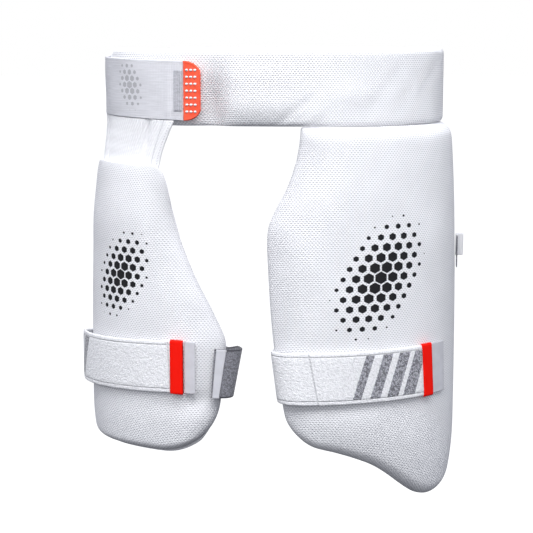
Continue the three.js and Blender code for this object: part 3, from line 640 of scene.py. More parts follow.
def swell(piece, loose, pressure=4.0, cap=3.0):
    """Blows the cloth up with Blender's Cloth: free where loose is 1, sewn down where it is 0."""
    mesh = piece.data
    count = len(mesh.vertices)
    rest = np.empty(count * 3)
    mesh.vertices.foreach_get("co", rest)
    rest = rest.reshape(-1, 3)
    freedom = loose(rest * 1000)
    held = np.flatnonzero(freedom <= 0).tolist()
    sewn = piece.vertex_groups.new(name="sewn down")
    sewn.add(held, 1.0, "REPLACE")
    cloth = piece.modifiers.new("swell", "CLOTH")
    settings = cloth.settings
    settings.vertex_group_mass = "sewn down"
    settings.quality = 5
    settings.use_pressure = True
    settings.uniform_pressure_force = pressure
    settings.effector_weights.gravity = 0
    for step in range(1, 21):
        scene.frame_set(step)
    blown = piece.evaluated_get(bpy.context.evaluated_depsgraph_get()).to_mesh()
    end = np.empty(count * 3)
    blown.vertices.foreach_get("co", end)
    move = end.reshape(-1, 3) - rest
    length = np.linalg.norm(move, axis=1, keepdims=True)
    move *= np.minimum(1, cap * 0.001 / np.maximum(length, 1e-9))
    ends = np.array([e.vertices[:] for e in mesh.edges])
    around = np.bincount(ends.ravel(), minlength=count)[:, None]
    for _ in range(8):
        near = np.zeros_like(move)
        np.add.at(near, ends[:, 0], move[ends[:, 1]])
        np.add.at(near, ends[:, 1], move[ends[:, 0]])
        move = (move + near / around) / 2
    move *= freedom[:, None]
    piece.evaluated_get(bpy.context.evaluated_depsgraph_get()).to_mesh_clear()
    piece.modifiers.remove(cloth)
    piece.vertex_groups.remove(sewn)
    mesh.vertices.foreach_set("co", (rest + move).ravel())
    mesh.update()
    scene.frame_set(1)
    print(piece.name, f"swelled by up to {np.linalg.norm(move, axis=1).max() * 1000:.1f} mm")


def dents(girth, height, rows):
    """Sum of soft dents and creases. Each row has its place, half widths, slant and depth in millimetres."""
    total = np.zeros(np.broadcast(girth, height).shape)
    for at, level, wide, tall, slant, depth in rows:
        across = girth - at - slant * (height - level)
        total += depth * np.exp(-(across / wide) ** 2 - ((height - level) / tall) ** 2)
    return total


# %% [markdown]
# ## Waist band
#
# The band is foam between two faces of open mesh, 70 mm high and 9 mm thick, with round edges.
# It runs from under the tab round the front, the right side and the back. A soft hollow stands
# beside the tab, where the pull flattens the foam, and a slanting crease where the large guard
# starts to hang from it.

# %% Waist band
BAND = {"height": 70.0, "thickness": 9.0, "edge": 5.0, "end": 32.0, "front": 196.0, "gap": 74.0}
band_creases = [
    (-54, -24, 14, 34, 0.1, -2.6),
    (14, -22, 4, 17, 1.1, -1.5),
    (27, -30, 5, 12, 1.0, 0.9),
    (70, -6, 36, 9, 0.0, 0.7),
    (96, -4, 6, 30, 0.9, -0.6),
    (120, -12, 5, 18, 0.5, -0.8),
    (150, 4, 7, 26, 0.7, -0.6),
    (-20, 12, 34, 9, 0.0, 0.7),
]
band_bends = [
    (-62, -26, 15, 36, 0.15, -11.0),
    (-22, -40, 54, 15, 0.0, -7.0),
]
length = WAIST - BAND["gap"]
along = rim_stations(length, BAND["end"], 4.0, 10)
across = rim_stations(BAND["height"], BAND["edge"], 4.0, 5)
from_end = np.minimum(along, length - along)[:, None]
half = BAND_HALF - BAND["end"] * (1 - roll(from_end, BAND["end"]))
height = half * (across[None, :] / BAND_HALF - 1)
girth = np.broadcast_to(along[:, None] - BAND["front"], height.shape)
edge = np.minimum(across, BAND["height"] - across)[None, :]
padding = np.minimum(roll(edge, BAND["edge"]), roll(from_end, BAND["edge"]))
depth = (BAND["thickness"] - 1.0) * (0.15 + 0.85 * padding) / 2
middle = BAND["thickness"] / 2
bend = dents(girth, height, band_bends)
outer = on_form(girth, height, middle + bend + depth + padding * dents(girth, height, band_creases))
inner = on_form(girth, height, middle + bend - depth)
over = over_roll(edge, BAND["edge"], BAND["thickness"] / 2) * np.sign(height)
band_pattern = np.stack([girth, height + over], -1)
band = cloth_mesh("waist_band_cloth", outer, inner, band_pattern, band_cloth, backing_finish)


def outside_band(p):
    angle = np.arctan2(p[:, 0] / HALF_WIDTH, -p[:, 1] / HALF_DEPTH)
    standoff = np.hypot(p[:, 0], p[:, 1]) - np.hypot(HALF_WIDTH * np.sin(angle), HALF_DEPTH * np.cos(angle))
    return np.clip((standoff - middle) / 3, 0, 1) * np.clip((BAND_HALF - np.abs(p[:, 2])) / 8, 0, 1)


swell(band, outside_band, cap=1.0)
subdivide(band)
wear(band, "band_mesh", "waist_band")

# %% [markdown]
# ## The two guards
#
# A guard is a block of foam with a mesh face, rolled over at every edge and flat behind. Its
# outline is a pattern of its own: two tables give how far the front edge is set back and how far
# the lower edge reaches. The foam starts a little thin, and a cloth simulation fills it out, so
# that the face crowns and pulls tight toward the sewn edge.

# %% Guard patterns
GUARD_RIM = 3.0
LARGE = {
    "side": 1, "front": -8.4, "top": BAND_HALF + SEAT, "girth": 234.0, "height": 365.0,
    "thickness": 18.0, "roll": 12.0, "front_roll": 20.0, "top_roll": 15.0, "crown": 0.42, "crown_reach": 55.0,
    "corners": {"top_front": 3, "top_rear": 28, "low_front": 24, "low_rear": 45},
    "front_edge": through_rows([
        (0, 0.13), (0.06, 0.122), (0.12, 0.106), (0.2, 0.071), (0.26, 0.033), (0.31, 0.007),
        (0.36, 0), (0.42, 0.002), (0.6, 0.014), (0.72, 0.028), (0.89, 0.057), (1, 0.083)]),
    "low_edge": through_rows([
        (0, 0.8), (0.1, 0.832), (0.19, 0.849), (0.27, 0.867), (0.36, 0.892), (0.43, 0.92),
        (0.51, 0.957), (0.58, 0.985), (0.64, 0.998), (0.7, 1), (0.76, 0.994), (0.83, 0.975),
        (0.9, 0.94), (1, 0.875)]),
}
SMALL = {
    "side": -1, "front": -44.4, "top": 72.0, "girth": 167.0, "height": 275.0,
    "thickness": 16.0, "roll": 8.0, "front_roll": 15.0, "top_roll": 15.0, "crown": 0.22, "crown_reach": 36.0,
    "corners": {"top_front": 15, "top_rear": 38, "low_front": 55, "low_rear": 34},
    "front_edge": through_rows([
        (0, 0.334), (0.06, 0.308), (0.1, 0.299), (0.17, 0.288), (0.245, 0.26), (0.32, 0.213),
        (0.4, 0.155), (0.47, 0.095), (0.525, 0.053), (0.583, 0.01), (0.62, 0), (0.72, 0.016),
        (0.8, 0.028), (1, 0.036)]),
    "low_edge": through_rows([(0, 0.996), (0.5, 1), (0.83, 1), (1, 0.98)]),
}
small_back_rise = through_rows([(0, 1), (0.06, 0.97), (0.12, 0.6), (0.19, 0.12), (0.24, 0), (1, 0)])
SMALL_TOP_STANDOFF = 9.9


def small_back(height):
    return SMALL_TOP_STANDOFF * small_back_rise((-height - SMALL["top"]) / SMALL["height"])


def round_corner(first, second, radius):
    p, q = radius - first, radius - second
    inside = (p > 0) & (q > 0)
    p_in, q_in = np.where(inside, p, 0), np.where(inside, q, 0)
    a = radius - p_in * np.sqrt(1 - q_in**2 / (2 * radius**2))
    b = radius - q_in * np.sqrt(1 - p_in**2 / (2 * radius**2))
    return np.where(inside, a, first), np.where(inside, b, second)


def pattern_point(guard, from_front, from_top):
    """Girth and height of a pattern point given by its distances from the front and the top."""
    wide, tall, corners = guard["girth"], guard["height"], guard["corners"]
    a, b = round_corner(from_front, from_top, corners["top_front"])
    rear, top = round_corner(wide - a, b, corners["top_rear"])
    rear_low, low = round_corner(rear, tall - top, corners["low_rear"])
    a, b = round_corner(wide - rear_low, low, corners["low_front"])
    u, v = a / wide, 1 - b / tall
    back = guard["front_edge"](v)
    return (guard["front"] + guard["side"] * wide * (back + u * (1 - back)),
            -guard["top"] - tall * v * guard["low_edge"](u))


def front_edge_at(guard, height):
    down = (-height - guard["top"]) / (guard["height"] * guard["low_edge"](0))
    return guard["front"] + guard["side"] * guard["girth"] * guard["front_edge"](down)


print("guards", LARGE["height"], "and", SMALL["height"], "mm high")

# %% Make the guards
EDGE_SHADE_REACH, EDGE_SHADE_FALL = 30.0, 1.5


def crown_at(guard, distance):
    """Share of the foam's thickness left at a distance from an edge it thins toward."""
    return 1 - guard["crown"] * (1 - np.clip(distance / guard["crown_reach"], 0, 1)) ** 2


def foam_guard(name, guard, back, marks, material, thin=1.6, spacing=5.0):
    fronts, tops = np.meshgrid(rim_stations(guard["girth"], guard["roll"], spacing),
                               rim_stations(guard["height"], guard["roll"], spacing))
    girth, height = pattern_point(guard, fronts, tops)
    base = back(height)
    across = np.minimum(roll(fronts, guard["front_roll"]), roll(guard["girth"] - fronts, guard["roll"]))
    down = np.minimum(roll(tops, guard["top_roll"]), roll(guard["height"] - tops, guard["roll"]))
    full = across * down * crown_at(guard, fronts) * crown_at(guard, guard["height"] - tops)
    padding = GUARD_RIM + (guard["thickness"] - thin - base - GUARD_RIM) * full
    outer = on_form(girth, height, base + padding + full * dents(girth, height, marks))
    inner = on_form(girth, height, base)
    rise = guard["thickness"] - GUARD_RIM
    rears, lows = guard["girth"] - fronts, guard["height"] - tops
    sideways = over_roll(rears, guard["roll"], rise) - over_roll(fronts, guard["front_roll"], rise)
    upward = over_roll(tops, guard["roll"], rise) - over_roll(lows, guard["roll"], rise)
    pattern = np.stack([girth + guard["side"] * sideways, height + upward], -1)
    # Painted shade: the mesh darkens toward the guard's front edge, over the last 30 mm.
    painted_edge_shade = (1 - np.clip(fronts / EDGE_SHADE_REACH, 0, 1)) ** EDGE_SHADE_FALL
    piece = cloth_mesh(name, outer, inner, pattern, material, backing_finish, painted_edge_shade)

    def on_face(p):
        reach = RIGHT_FLARE if guard["side"] > 0 else LEFT_FLARE
        widened = 1 - np.exp(-np.maximum(-p[:, 2] - BAND_HALF, 0) / FLARE_REACH)
        across_half = HALF_WIDTH + reach * widened
        angle = np.arctan2(p[:, 0] / across_half, -p[:, 1] / HALF_DEPTH)
        body = np.hypot(across_half * np.sin(angle), HALF_DEPTH * np.cos(angle))
        above_rim = np.hypot(p[:, 0], p[:, 1]) - body - back(p[:, 2]) - GUARD_RIM
        return np.clip((above_rim - 2) / 7, 0, 1)

    swell(piece, on_face, cap=thin + 0.6)
    return subdivide(piece)


large_marks = [
    (10, -225, 16, 60, 0.0, -3.0), (150, -150, 22, 30, 0.0, 0.8), (60, -240, 60, 14, 0.0, -0.6),
    (188, -200, 8, 60, 0.0, -0.8), (40, -300, 50, 8, 0.0, -1.0),
]
small_marks = [
    (-130, -128, 90, 26, 0.0, 2.0), (-63, -293, 9, 8, 0.6, -2.2), (-80, -300, 40, 9, 0.0, -1.0),
    (-150, -240, 30, 10, 0.0, -0.5),
]
large_guard = foam_guard("large_guard_foam", LARGE, lambda z: np.zeros_like(z), large_marks, guard_cloth)
wear(large_guard, "guard_mesh", "large_guard")
small_guard = foam_guard("small_guard_foam", SMALL, small_back, small_marks, guard_cloth)
wear(small_guard, "guard_mesh", "small_guard")

# %% [markdown]
# ## Backing of the small guard
#
# A plain cloth panel is sewn behind the small foam. It shows as a thin pale edge below it.

# %% Backing panel
BACKING = {"thickness": 2.0, "margin": 2.5, "top": 14.4, "front_inset": 4.0}
fronts = rim_stations(SMALL["girth"], SMALL["roll"], 5.0)[1:-1]
fronts = BACKING["front_inset"] + fronts * (1 - BACKING["front_inset"] / SMALL["girth"])
tops = rim_stations(SMALL["height"], SMALL["roll"], 5.0)
tops = np.concatenate([[BACKING["top"]], tops[tops > BACKING["top"]]])
fronts, tops = np.meshgrid(fronts, tops)
girth, height = pattern_point(SMALL, fronts, tops)
face = small_back(height) - SEAT
height = height - BACKING["margin"] * tops / SMALL["height"]
backing = cloth_mesh("small_guard_back_panel", on_form(girth, height, face),
                     on_form(girth, height, face - BACKING["thickness"]), np.stack([girth, height], -1), backing_finish)
wear(backing, "backing_cloth", "small_guard_backing")

# %% [markdown]
# ## Closure tab
#
# A wide elastic joins the two ends of the band on the left. Its front end carries a dense bar of
# stitches and a rubber badge to pull on. The badge is straight against the tab and bowed at its
# free side, and rows of small studs give the fingers a grip.

# %% Tab, stitched bar and badge
TAB = {"width": 55.0, "thickness": 2.4, "end": 82.0, "seam": 22.0, "slant": 2.4}
TAB_STANDOFF = BAND["thickness"] + SEAT


def tab_middle(girth):
    return -TAB["slant"] * (girth + WAIST / 4) / (WAIST / 4 - TAB["end"])


def flat_piece(name, start, end, half_height, standoff, thickness, material, spacing=2.0, soft=0.8, relief=None):
    """Flat cloth on the tab, with soft edges; relief adds to its outer face."""
    along = rim_stations(end - start, soft, spacing, 4)
    share = -1 + rim_stations(2.0, 0.03, 0.06, 4)
    girth, across = np.meshgrid(start + along, share, indexing="ij")
    half = half_height(girth)
    height = tab_middle(girth) + across * half
    edge = np.minimum(half * (1 - np.abs(across)), np.minimum(girth - start, end - girth))
    full = roll(edge, soft)
    lift = 0 if relief is None else relief(girth, across * half) * full
    outer = on_form(girth, height, standoff + thickness / 2 + thickness / 2 * full + lift)
    inner = on_form(girth, height, standoff + thickness / 2 - thickness / 2 * full)
    return cloth_mesh(name, outer, inner, np.stack([girth, height], -1), material)


def tab_relief(girth, across):
    hem = -0.35 * np.exp(-((np.abs(across) - 24.0) / 0.7) ** 2)
    fold = -0.6 * np.exp(-((girth + 93) / 1.1) ** 2)
    pulled = 0.5 * np.exp(-((girth + 97) / 3.0) ** 2)
    return hem + fold + pulled + 0.3 * np.sin(girth / 11.0) * np.sin(across / 9.0)


tab_start = -(BAND["front"] + BAND["gap"] + TAB["seam"])
tab = flat_piece("closure_tab_elastic", tab_start, -TAB["end"], lambda g: TAB["width"] / 2 + 0 * g,
                 TAB_STANDOFF, TAB["thickness"], tab_cloth, relief=tab_relief)
wear(subdivide(tab), "tab_elastic", "closure_tab")

bar_end = -TAB["end"] - 0.3
bar = flat_piece("tab_stitch_bar", bar_end - 8.0, bar_end, lambda g: 18.5 + 0 * g,
                 TAB_STANDOFF + TAB["thickness"] + SEAT, 0.8, bar_finish, spacing=1.0, soft=0.4)
wear(bar, "tab_stitching", "tab_bar")

BADGE = {"length": 15.4, "thickness": 3.2, "bow": 0.42}
badge_start = -TAB["end"] + SEAT


def badge_half(girth):
    to_end = badge_start + BADGE["length"] - girth
    return TAB["width"] / 2 * (1 - BADGE["bow"] * (1 - roll(to_end, BADGE["length"])))


def badge_relief(girth, across):
    to_ends = np.minimum(girth - badge_start, badge_start + BADGE["length"] - girth)
    inset = np.minimum(badge_half(girth) - np.abs(across), to_ends)
    return -0.45 * np.clip((inset - 1.2) / 0.6, 0, 1)


badge = flat_piece("pull_badge_rubber", badge_start, badge_start + BADGE["length"], badge_half,
                   TAB_STANDOFF, BADGE["thickness"], badge_finish, spacing=0.7, soft=0.9, relief=badge_relief)
wear(subdivide(badge), "badge_rubber", "pull_badge")

# %% [markdown]
# ## Ribbed knit
#
# The knit that carries the small guard has fine ribs, a flat hem down each side and two soft
# folds. The sheet is made flat between its edges first. A small Geometry Nodes tree then raises
# the ribs along the cloth, with their pitch and height as inputs.

# %% Tree for ribs along a cloth
def geometry_tree(name, inputs):
    tree = bpy.data.node_groups.new(name, "GeometryNodeTree")
    tree.interface.new_socket("Geometry", in_out="INPUT", socket_type="NodeSocketGeometry")
    for label, kind, default in inputs:
        socket = tree.interface.new_socket(label, in_out="INPUT", socket_type="NodeSocket" + kind)
        if default is not None:
            socket.default_value = default
    tree.interface.new_socket("Geometry", in_out="OUTPUT", socket_type="NodeSocketGeometry")
    return tree, tree.nodes.new("NodeGroupInput").outputs, tree.nodes.new("NodeGroupOutput").inputs


ribs_tree, given, result = geometry_tree(
    "ribs along a cloth", [("Pitch", "Float", 0.002), ("Height", "Float", 0.0003), ("Material", "Material", None)])
tree = ribs_tree
pattern = node(tree, "GeometryNodeInputNamedAttribute", {"Name": "cloth"}, data_type="FLOAT_VECTOR")
split = node(tree, "ShaderNodeSeparateXYZ", {"Vector": pattern.outputs["Attribute"]}).outputs
mask = node(tree, "GeometryNodeInputNamedAttribute", {"Name": "ribbed"}, data_type="FLOAT").outputs["Attribute"]
wave = maths(tree, "SINE", maths(tree, "MULTIPLY", maths(tree, "DIVIDE", split["X"], given["Pitch"]), 2 * math.pi))
rise = maths(tree, "MULTIPLY", maths(tree, "MULTIPLY", wave, given["Height"]), mask)
normal = node(tree, "GeometryNodeInputNormal").outputs[0]
offset = node(tree, "ShaderNodeVectorMath", {0: normal, "Scale": rise}, operation="SCALE").outputs["Vector"]
moved = node(tree, "GeometryNodeSetPosition", {"Geometry": given["Geometry"], "Offset": offset}).outputs["Geometry"]
real = node(tree, "GeometryNodeRealizeInstances", {"Geometry": moved}).outputs["Geometry"]
dressed = node(tree, "GeometryNodeSetMaterial", {"Geometry": real, "Material": given["Material"]}).outputs["Geometry"]
tree.links.new(dressed, result["Geometry"])


def grown(piece, tree, inputs):
    """Runs a Geometry Nodes tree on a piece and keeps the result as its mesh."""
    modifier = piece.modifiers.new(tree.name, "NODES")
    modifier.node_group = tree
    names = {s.name: s.identifier for s in tree.interface.items_tree if s.in_out == "INPUT"}
    for label, value in inputs.items():
        modifier[names[label]] = value
    evaluated = piece.evaluated_get(bpy.context.evaluated_depsgraph_get())
    mesh = bpy.data.meshes.new_from_object(evaluated, preserve_all_data_layers=True,
                                           depsgraph=bpy.context.evaluated_depsgraph_get())
    piece.modifiers.remove(modifier)
    old = piece.data
    piece.data = mesh
    mesh.name = old.name + "_grown"
    bpy.data.meshes.remove(old)
    mesh.shade_smooth()
    return piece


# %% Knit hanger
HANGER = {"thickness": 1.8, "edge": 91.5, "inset": 14.5, "rear": 214.0, "rear_taper": 16.0, "tuck": 14.0,
          "fold": 1.2, "folds": 2, "hem": 8.5}
hanger_face = through_rows([(0, 0.93), (0.1, 0.93), (0.35, 0.85), (0.7, 0.78), (1, 0.73)])
down, along = np.meshgrid(np.linspace(0, 1, 60), np.linspace(0, 1, 260), indexing="ij")
front = -(HANGER["edge"] + HANGER["inset"] * np.sin(down * np.pi / 2))
rear = -(HANGER["rear"] - HANGER["rear_taper"] * down**2)
girth = front + (rear - front) * along
top = tab_middle(girth) - TAB["width"] / 2 - SEAT
bottom = -(SMALL["top"] + HANGER["tuck"])
height = top + (bottom - top) * down
fold = HANGER["fold"] * np.sin(down * np.pi) * (1 - np.cos(along * HANGER["folds"] * 2 * np.pi)) / 2
wide = (girth[:, 0] - girth[:, -1]).mean()
from_edge = along * wide
hem = np.minimum(from_edge, wide - from_edge)
hem_rise = 0.9 * (1 - np.clip((hem - HANGER["hem"] + 0.9) / 0.9, 0, 1))
crease = dents(girth, height, [(-121, -50, 2.8, 24, 0.16, -2.6), (-178, -55, 3.2, 26, -0.05, -3.0)])
standoff = (TAB_STANDOFF + TAB["thickness"]) * hanger_face(down) - fold + crease
edge_round = roll(np.minimum(hem, 5.0), 0.9)
outer = on_form(girth, height, standoff - (1 - edge_round) * HANGER["thickness"] / 2 + hem_rise * 0.5)
inner = on_form(girth, height, standoff - HANGER["thickness"] + (1 - edge_round) * HANGER["thickness"] / 2)
flat = np.stack([from_edge, height], -1)
hanger = cloth_mesh("knit_hanger_cloth", outer, inner, flat, knit_finish)
uv = np.empty(len(hanger.data.loops) * 2, dtype=np.float32)
hanger.data.uv_layers["cloth"].data.foreach_get("uv", uv)
corner_vertex = np.empty(len(hanger.data.loops), dtype=np.int32)
hanger.data.loops.foreach_get("vertex_index", corner_vertex)
across_at = np.zeros(len(hanger.data.vertices))
across_at[corner_vertex] = uv.reshape(-1, 2)[:, 0] * 1000
inside_hems = np.clip((np.minimum(across_at, wide - across_at) - HANGER["hem"]) / 1.0, 0, 1)
ribbed = hanger.data.attributes.new("ribbed", "FLOAT", "POINT")
ribbed.data.foreach_set("value", inside_hems.astype(np.float32))
grown(hanger, ribs_tree, {"Pitch": 0.0026, "Height": 0.0003, "Material": knit_finish})
wear(hanger, "hanger_knit", "knit_hanger")

# %% [markdown]
# ## Straps
#
# A strap is a flat tape bent along a path and standing on edge, so it is swept, not simulated.
# The path goes over the guard, round its edge and behind the thigh. The UV map runs in metres from
# the strap's red end, which is how the woven bars and the hems know their place.

# %% Path and sweep helpers
def smooth_path(points, spans):
    """Centripetal curve through points, with a number of steps to each span."""
    points = np.asarray(points, float)
    padded = np.vstack([2 * points[0] - points[1], points, 2 * points[-1] - points[-2]])
    out = []
    for p0, p1, p2, p3 in zip(padded, padded[1:], padded[2:], padded[3:]):
        d0, d1, d2 = (max(np.linalg.norm(b - a), 1e-6) ** 0.5 for a, b in ((p0, p1), (p1, p2), (p2, p3)))
        m1 = ((p1 - p0) / d0 - (p2 - p0) / (d0 + d1) + (p2 - p1) / d1) * d1
        m2 = ((p2 - p1) / d1 - (p3 - p1) / (d1 + d2) + (p3 - p2) / d2) * d1
        for t in np.arange(spans) / spans:
            out.append((2 * t**3 - 3 * t**2 + 1) * p1 + (t**3 - 2 * t**2 + t) * m1
                       + (3 * t**2 - 2 * t**3) * p2 + (t**3 - t**2) * m2)
    out.append(points[-1])
    return np.array(out)


def lean_along(girth, lean):
    tangent = (on_form(girth + 1, 0, 0) - on_form(girth - 1, 0, 0))[:2]
    return tangent / np.linalg.norm(tangent) * lean


class Path:
    """Centre line of a strap: where it is in plan, its height and its lean at each station."""

    def __init__(self):
        self.place, self.height, self.lean = [], [], []

    def add(self, place, height, lean):
        self.place.append(np.asarray(place, float)[:2])
        self.height.append(float(height))
        self.lean.append(np.asarray(lean, float)[:2])

    def arrays(self):
        place, height, lean = (np.array(v) for v in (self.place, self.height, self.lean))
        along = np.gradient(place, axis=0)
        along /= np.linalg.norm(along, axis=1, keepdims=True)
        outward = np.stack([along[:, 1], -along[:, 0]], -1)
        run = np.concatenate([[0], np.cumsum(np.linalg.norm(np.diff(place, axis=0), axis=1))])
        return place, height, lean, outward, run

    def at(self, up, out):
        """Points along the strap at a distance up from its middle and out from its centre line."""
        place, height, lean, outward, _ = self.arrays()
        plan = place + outward * out - lean * up
        return np.column_stack([plan, height + up])


def sweep(name, path, width, thickness, material, profile=None, shown=1, waver=0.0):
    """Tape swept along a path; profile gives its thickness share at a distance from the edge.

    The shown side is 1 where the tape's right side is its good one, -1 where it is the left.
    """
    place, height, lean, outward, run = path.arrays()
    up = -width / 2 + rim_stations(width, thickness / 2, 1.6, 5)
    edge = width / 2 - np.abs(up)
    full = roll(edge, thickness / 2)
    if profile is not None:
        full = full * profile(edge)
    depth = thickness / 2 * full
    ripple = waver * np.sin(run / 17.0 + 0.7)[:, None] * (up / width)[None, :]

    def face(side):
        plan = place[:, None] + outward[:, None] * (side * depth)[None, :, None]
        plan = plan + outward[:, None] * ripple[..., None] - lean[:, None] * up[None, :, None]
        level = height[:, None] + np.broadcast_to(up, (len(height), len(up)))
        return np.concatenate([plan, level[..., None]], -1)

    flat = np.stack(np.meshgrid(run, up, indexing="ij"), -1)
    return cloth_mesh(name, face(shown), face(-shown), flat, material)


def hemmed(edge):
    """Thickness of a hemmed terry tape: a flatter border, a groove where it is sewn, a full middle."""
    border = 0.82 + 0.18 * np.clip((edge - 4.2) / 1.2, 0, 1)
    return border - 0.34 * np.exp(-((edge - 4.0) / 0.55) ** 2)


# %% Large strap
STRAP = {"width": 50.0, "thickness": 3.0, "seat": 0.6, "drop": 16.0}
LARGE_END = LARGE["front"] + LARGE["girth"] * 0.572
LARGE_LEVEL = -269.5
LARGE_END_LEAN = 0.07
LARGE_LOOP = [(0.012, -0.66), (0.045, 0.0), (0.16, 0.6), (0.52, 1), (0.88, 0.76)]

large_path = Path()
edge_girth = front_edge_at(LARGE, LARGE_LEVEL)
edge_lean = (front_edge_at(LARGE, LARGE_LEVEL - 25) - front_edge_at(LARGE, LARGE_LEVEL + 25)) / STRAP["width"]
half = STRAP["thickness"] / 2 + STRAP["seat"]
turn = edge_girth + LARGE["front_roll"]
for girth in np.linspace(LARGE_END, turn, 60):
    share = (girth - LARGE_END) / (turn - LARGE_END)
    lean = LARGE_END_LEAN + (edge_lean - LARGE_END_LEAN) * share
    lowered = (LARGE["thickness"] - GUARD_RIM) * (1 - crown_at(LARGE, girth - edge_girth)) * 1.1
    face = LARGE["thickness"] + half - lowered
    large_path.add(on_form(girth, LARGE_LEVEL, face), LARGE_LEVEL, lean_along(girth, lean))
for angle in np.linspace(0, np.pi / 2, 13)[1:]:
    girth = turn - (LARGE["front_roll"] + half) * np.sin(angle)
    standoff = GUARD_RIM + (face - GUARD_RIM) * np.cos(angle)
    large_path.add(on_form(girth, LARGE_LEVEL, standoff), LARGE_LEVEL, lean_along(0, edge_lean))
fold_end = large_path.place[-1]
rear_end = on_form(LARGE["front"] + LARGE["girth"] + STRAP["seat"], LARGE_LEVEL, GUARD_RIM / 2)[:2]
LOOP_DEPTH = 76.0
rear = [(fold_end[0] + a * (rear_end[0] - fold_end[0]), b * LOOP_DEPTH) for a, b in LARGE_LOOP]
behind = smooth_path([large_path.place[-2], fold_end, *rear, rear_end], 16)[17:]
for i, place in enumerate(behind):
    share = (i + 1) / len(behind)
    lowered = STRAP["drop"] * math.sin(share * math.pi)
    large_path.add(place, LARGE_LEVEL - lowered, lean_along(0, edge_lean * max(1 - share * 4, 0)))
large_strap = sweep("large_strap_terry", large_path, STRAP["width"], STRAP["thickness"], large_strap_cloth,
                    hemmed, -1, waver=0.5)
wear(large_strap, "strap_terry", "large_strap")

# %% Small strap and its elastic
SMALL_END, SMALL_LEVEL, SMALL_RISE, SMALL_LEVEL_AT = 85.6, -264.0, 8.0, 0.4
SIDE_SLACK, SLACK_POWER, SMALL_LOOP_DEPTH = 5.0, 3, 72.0
SIDE = -WAIST / 4
ELASTIC = {"level": -265.5, "width": 47.0, "thickness": 2.0, "reach": 14.0, "lean": -0.19}
small_face = SMALL["thickness"] + STRAP["seat"] + STRAP["thickness"] / 2


def small_strap_height(girth):
    share = np.clip((-girth - SMALL_END) / (WAIST / 4 - SMALL_END), 0, 1)
    return SMALL_LEVEL + SMALL_RISE * (SMALL_LEVEL_AT - share)


elastic_edge = float(front_edge_at(SMALL, ELASTIC["level"]))
loop_front = on_form(elastic_edge + ELASTIC["reach"], ELASTIC["level"], 0)[0]
loop_far = on_form(SIDE, ELASTIC["level"], small_face + SIDE_SLACK)[0]


def small_loop(rows):
    return [(loop_front + a * (loop_far - loop_front), b * SMALL_LOOP_DEPTH) for a, b in rows]


small_path = Path()
for girth in np.linspace(-SMALL_END, SIDE, 60):
    share = (-girth - SMALL_END) / (-SIDE - SMALL_END)
    height = small_strap_height(girth)
    small_path.add(on_form(girth, height, small_face + SIDE_SLACK * share**SLACK_POWER), height, (0, 0))
last_height = small_path.height[-1]
rear = small_loop([(0.98, 0.4), (0.83, 0.84), (0.62, 1.035), (0.53, 1.045)])
behind = smooth_path([small_path.place[-2], small_path.place[-1], *rear], 16)[17:]
for i, place in enumerate(behind):
    small_path.add(place, last_height - STRAP["drop"] * math.sin((i + 1) / len(behind) * math.pi / 2), (0, 0))
small_strap = sweep("small_strap_terry", small_path, STRAP["width"], STRAP["thickness"], small_strap_cloth,
                    hemmed, -1, waver=0.5)
wear(small_strap, "strap_terry", "small_strap")

ELASTIC_TURN = [(-0.35, 0.88), (0.1, 0.9), (0.5, 0.9), (0.82, 0.72), (0.93, 0.42), (0.8, 0.05), (0.5, -0.3)]
ELASTIC_BACK = [(0.083, -1.1), (0.143, -0.5), (0.184, 0.07), (0.31, 0.7), (0.53, 1), (0.62, 0.99)]
elastic_path = Path()
turn_points = [on_form(elastic_edge + a * ELASTIC["reach"], ELASTIC["level"], b * SMALL["thickness"])[:2]
               for a, b in ELASTIC_TURN]
turned = smooth_path(turn_points, 8)
for i, place in enumerate(turned):
    lean = ELASTIC["lean"] * min(0.4 + i / 24, 1)
    elastic_path.add(place, ELASTIC["level"], lean_along(elastic_edge, lean))
behind = smooth_path([turned[-1], *small_loop(ELASTIC_BACK)], 16)[1:]
for i, place in enumerate(behind):
    share = (i + 1) / len(behind)
    elastic_path.add(place, ELASTIC["level"] - STRAP["drop"] * math.sin(share * math.pi / 2),
                     lean_along(elastic_edge, ELASTIC["lean"] * max(1 - share * 3, 0)))
elastic = sweep("small_elastic_tape", elastic_path, ELASTIC["width"], ELASTIC["thickness"], elastic_finish)
wear(elastic, "elastic_grey", "small_elastic")

# %% [markdown]
# ## Ends, patches and the side tab
#
# Each strap ends in a red binding, folded over the terry. Beside it a smooth strip is sewn to the
# guard, which the strap's end closes on. A folded piece of webbing stands out at the large guard's side.

# %% Red ends, patches and anchor
def face_strip(name, start, end, level, height, standoff, thickness, lean, material, nodes, slot, profile=None):
    path = Path()
    for girth in np.linspace(start, end, max(int(abs(end - start) / 1.0), 4)):
        path.add(on_form(girth, level, standoff + thickness / 2), level, lean_along(girth, lean))
    strip = sweep(name, path, height, thickness, material, profile)
    return wear(strip, slot, *nodes), path


BINDING = {"width": 10.0, "margin": 1.2, "thickness": 3.8, "lift": 0.2}
PATCH = {"gap": 1.4, "thickness": 1.0, "large": 17.5, "small": 9.0}


def red_end(name, strap_end, level, guard_thickness, lean, replaced):
    start = strap_end + SEAT
    standoff = guard_thickness + STRAP["seat"] + (STRAP["thickness"] - BINDING["thickness"]) / 2 + BINDING["lift"]
    height = STRAP["width"] + 2 * BINDING["margin"]
    return face_strip(name, start, start + BINDING["width"], level, height, standoff, BINDING["thickness"], lean,
                      binding_finish, [replaced], "strap_binding")


def smooth_strip(name, strap_end, width, level, guard_thickness, lean, replaced):
    start = strap_end + BINDING["width"] + PATCH["gap"]
    return face_strip(name, start, start + width, level, STRAP["width"], guard_thickness + STRAP["seat"],
                      PATCH["thickness"], lean, patch_finish, [replaced], "smooth_patch")


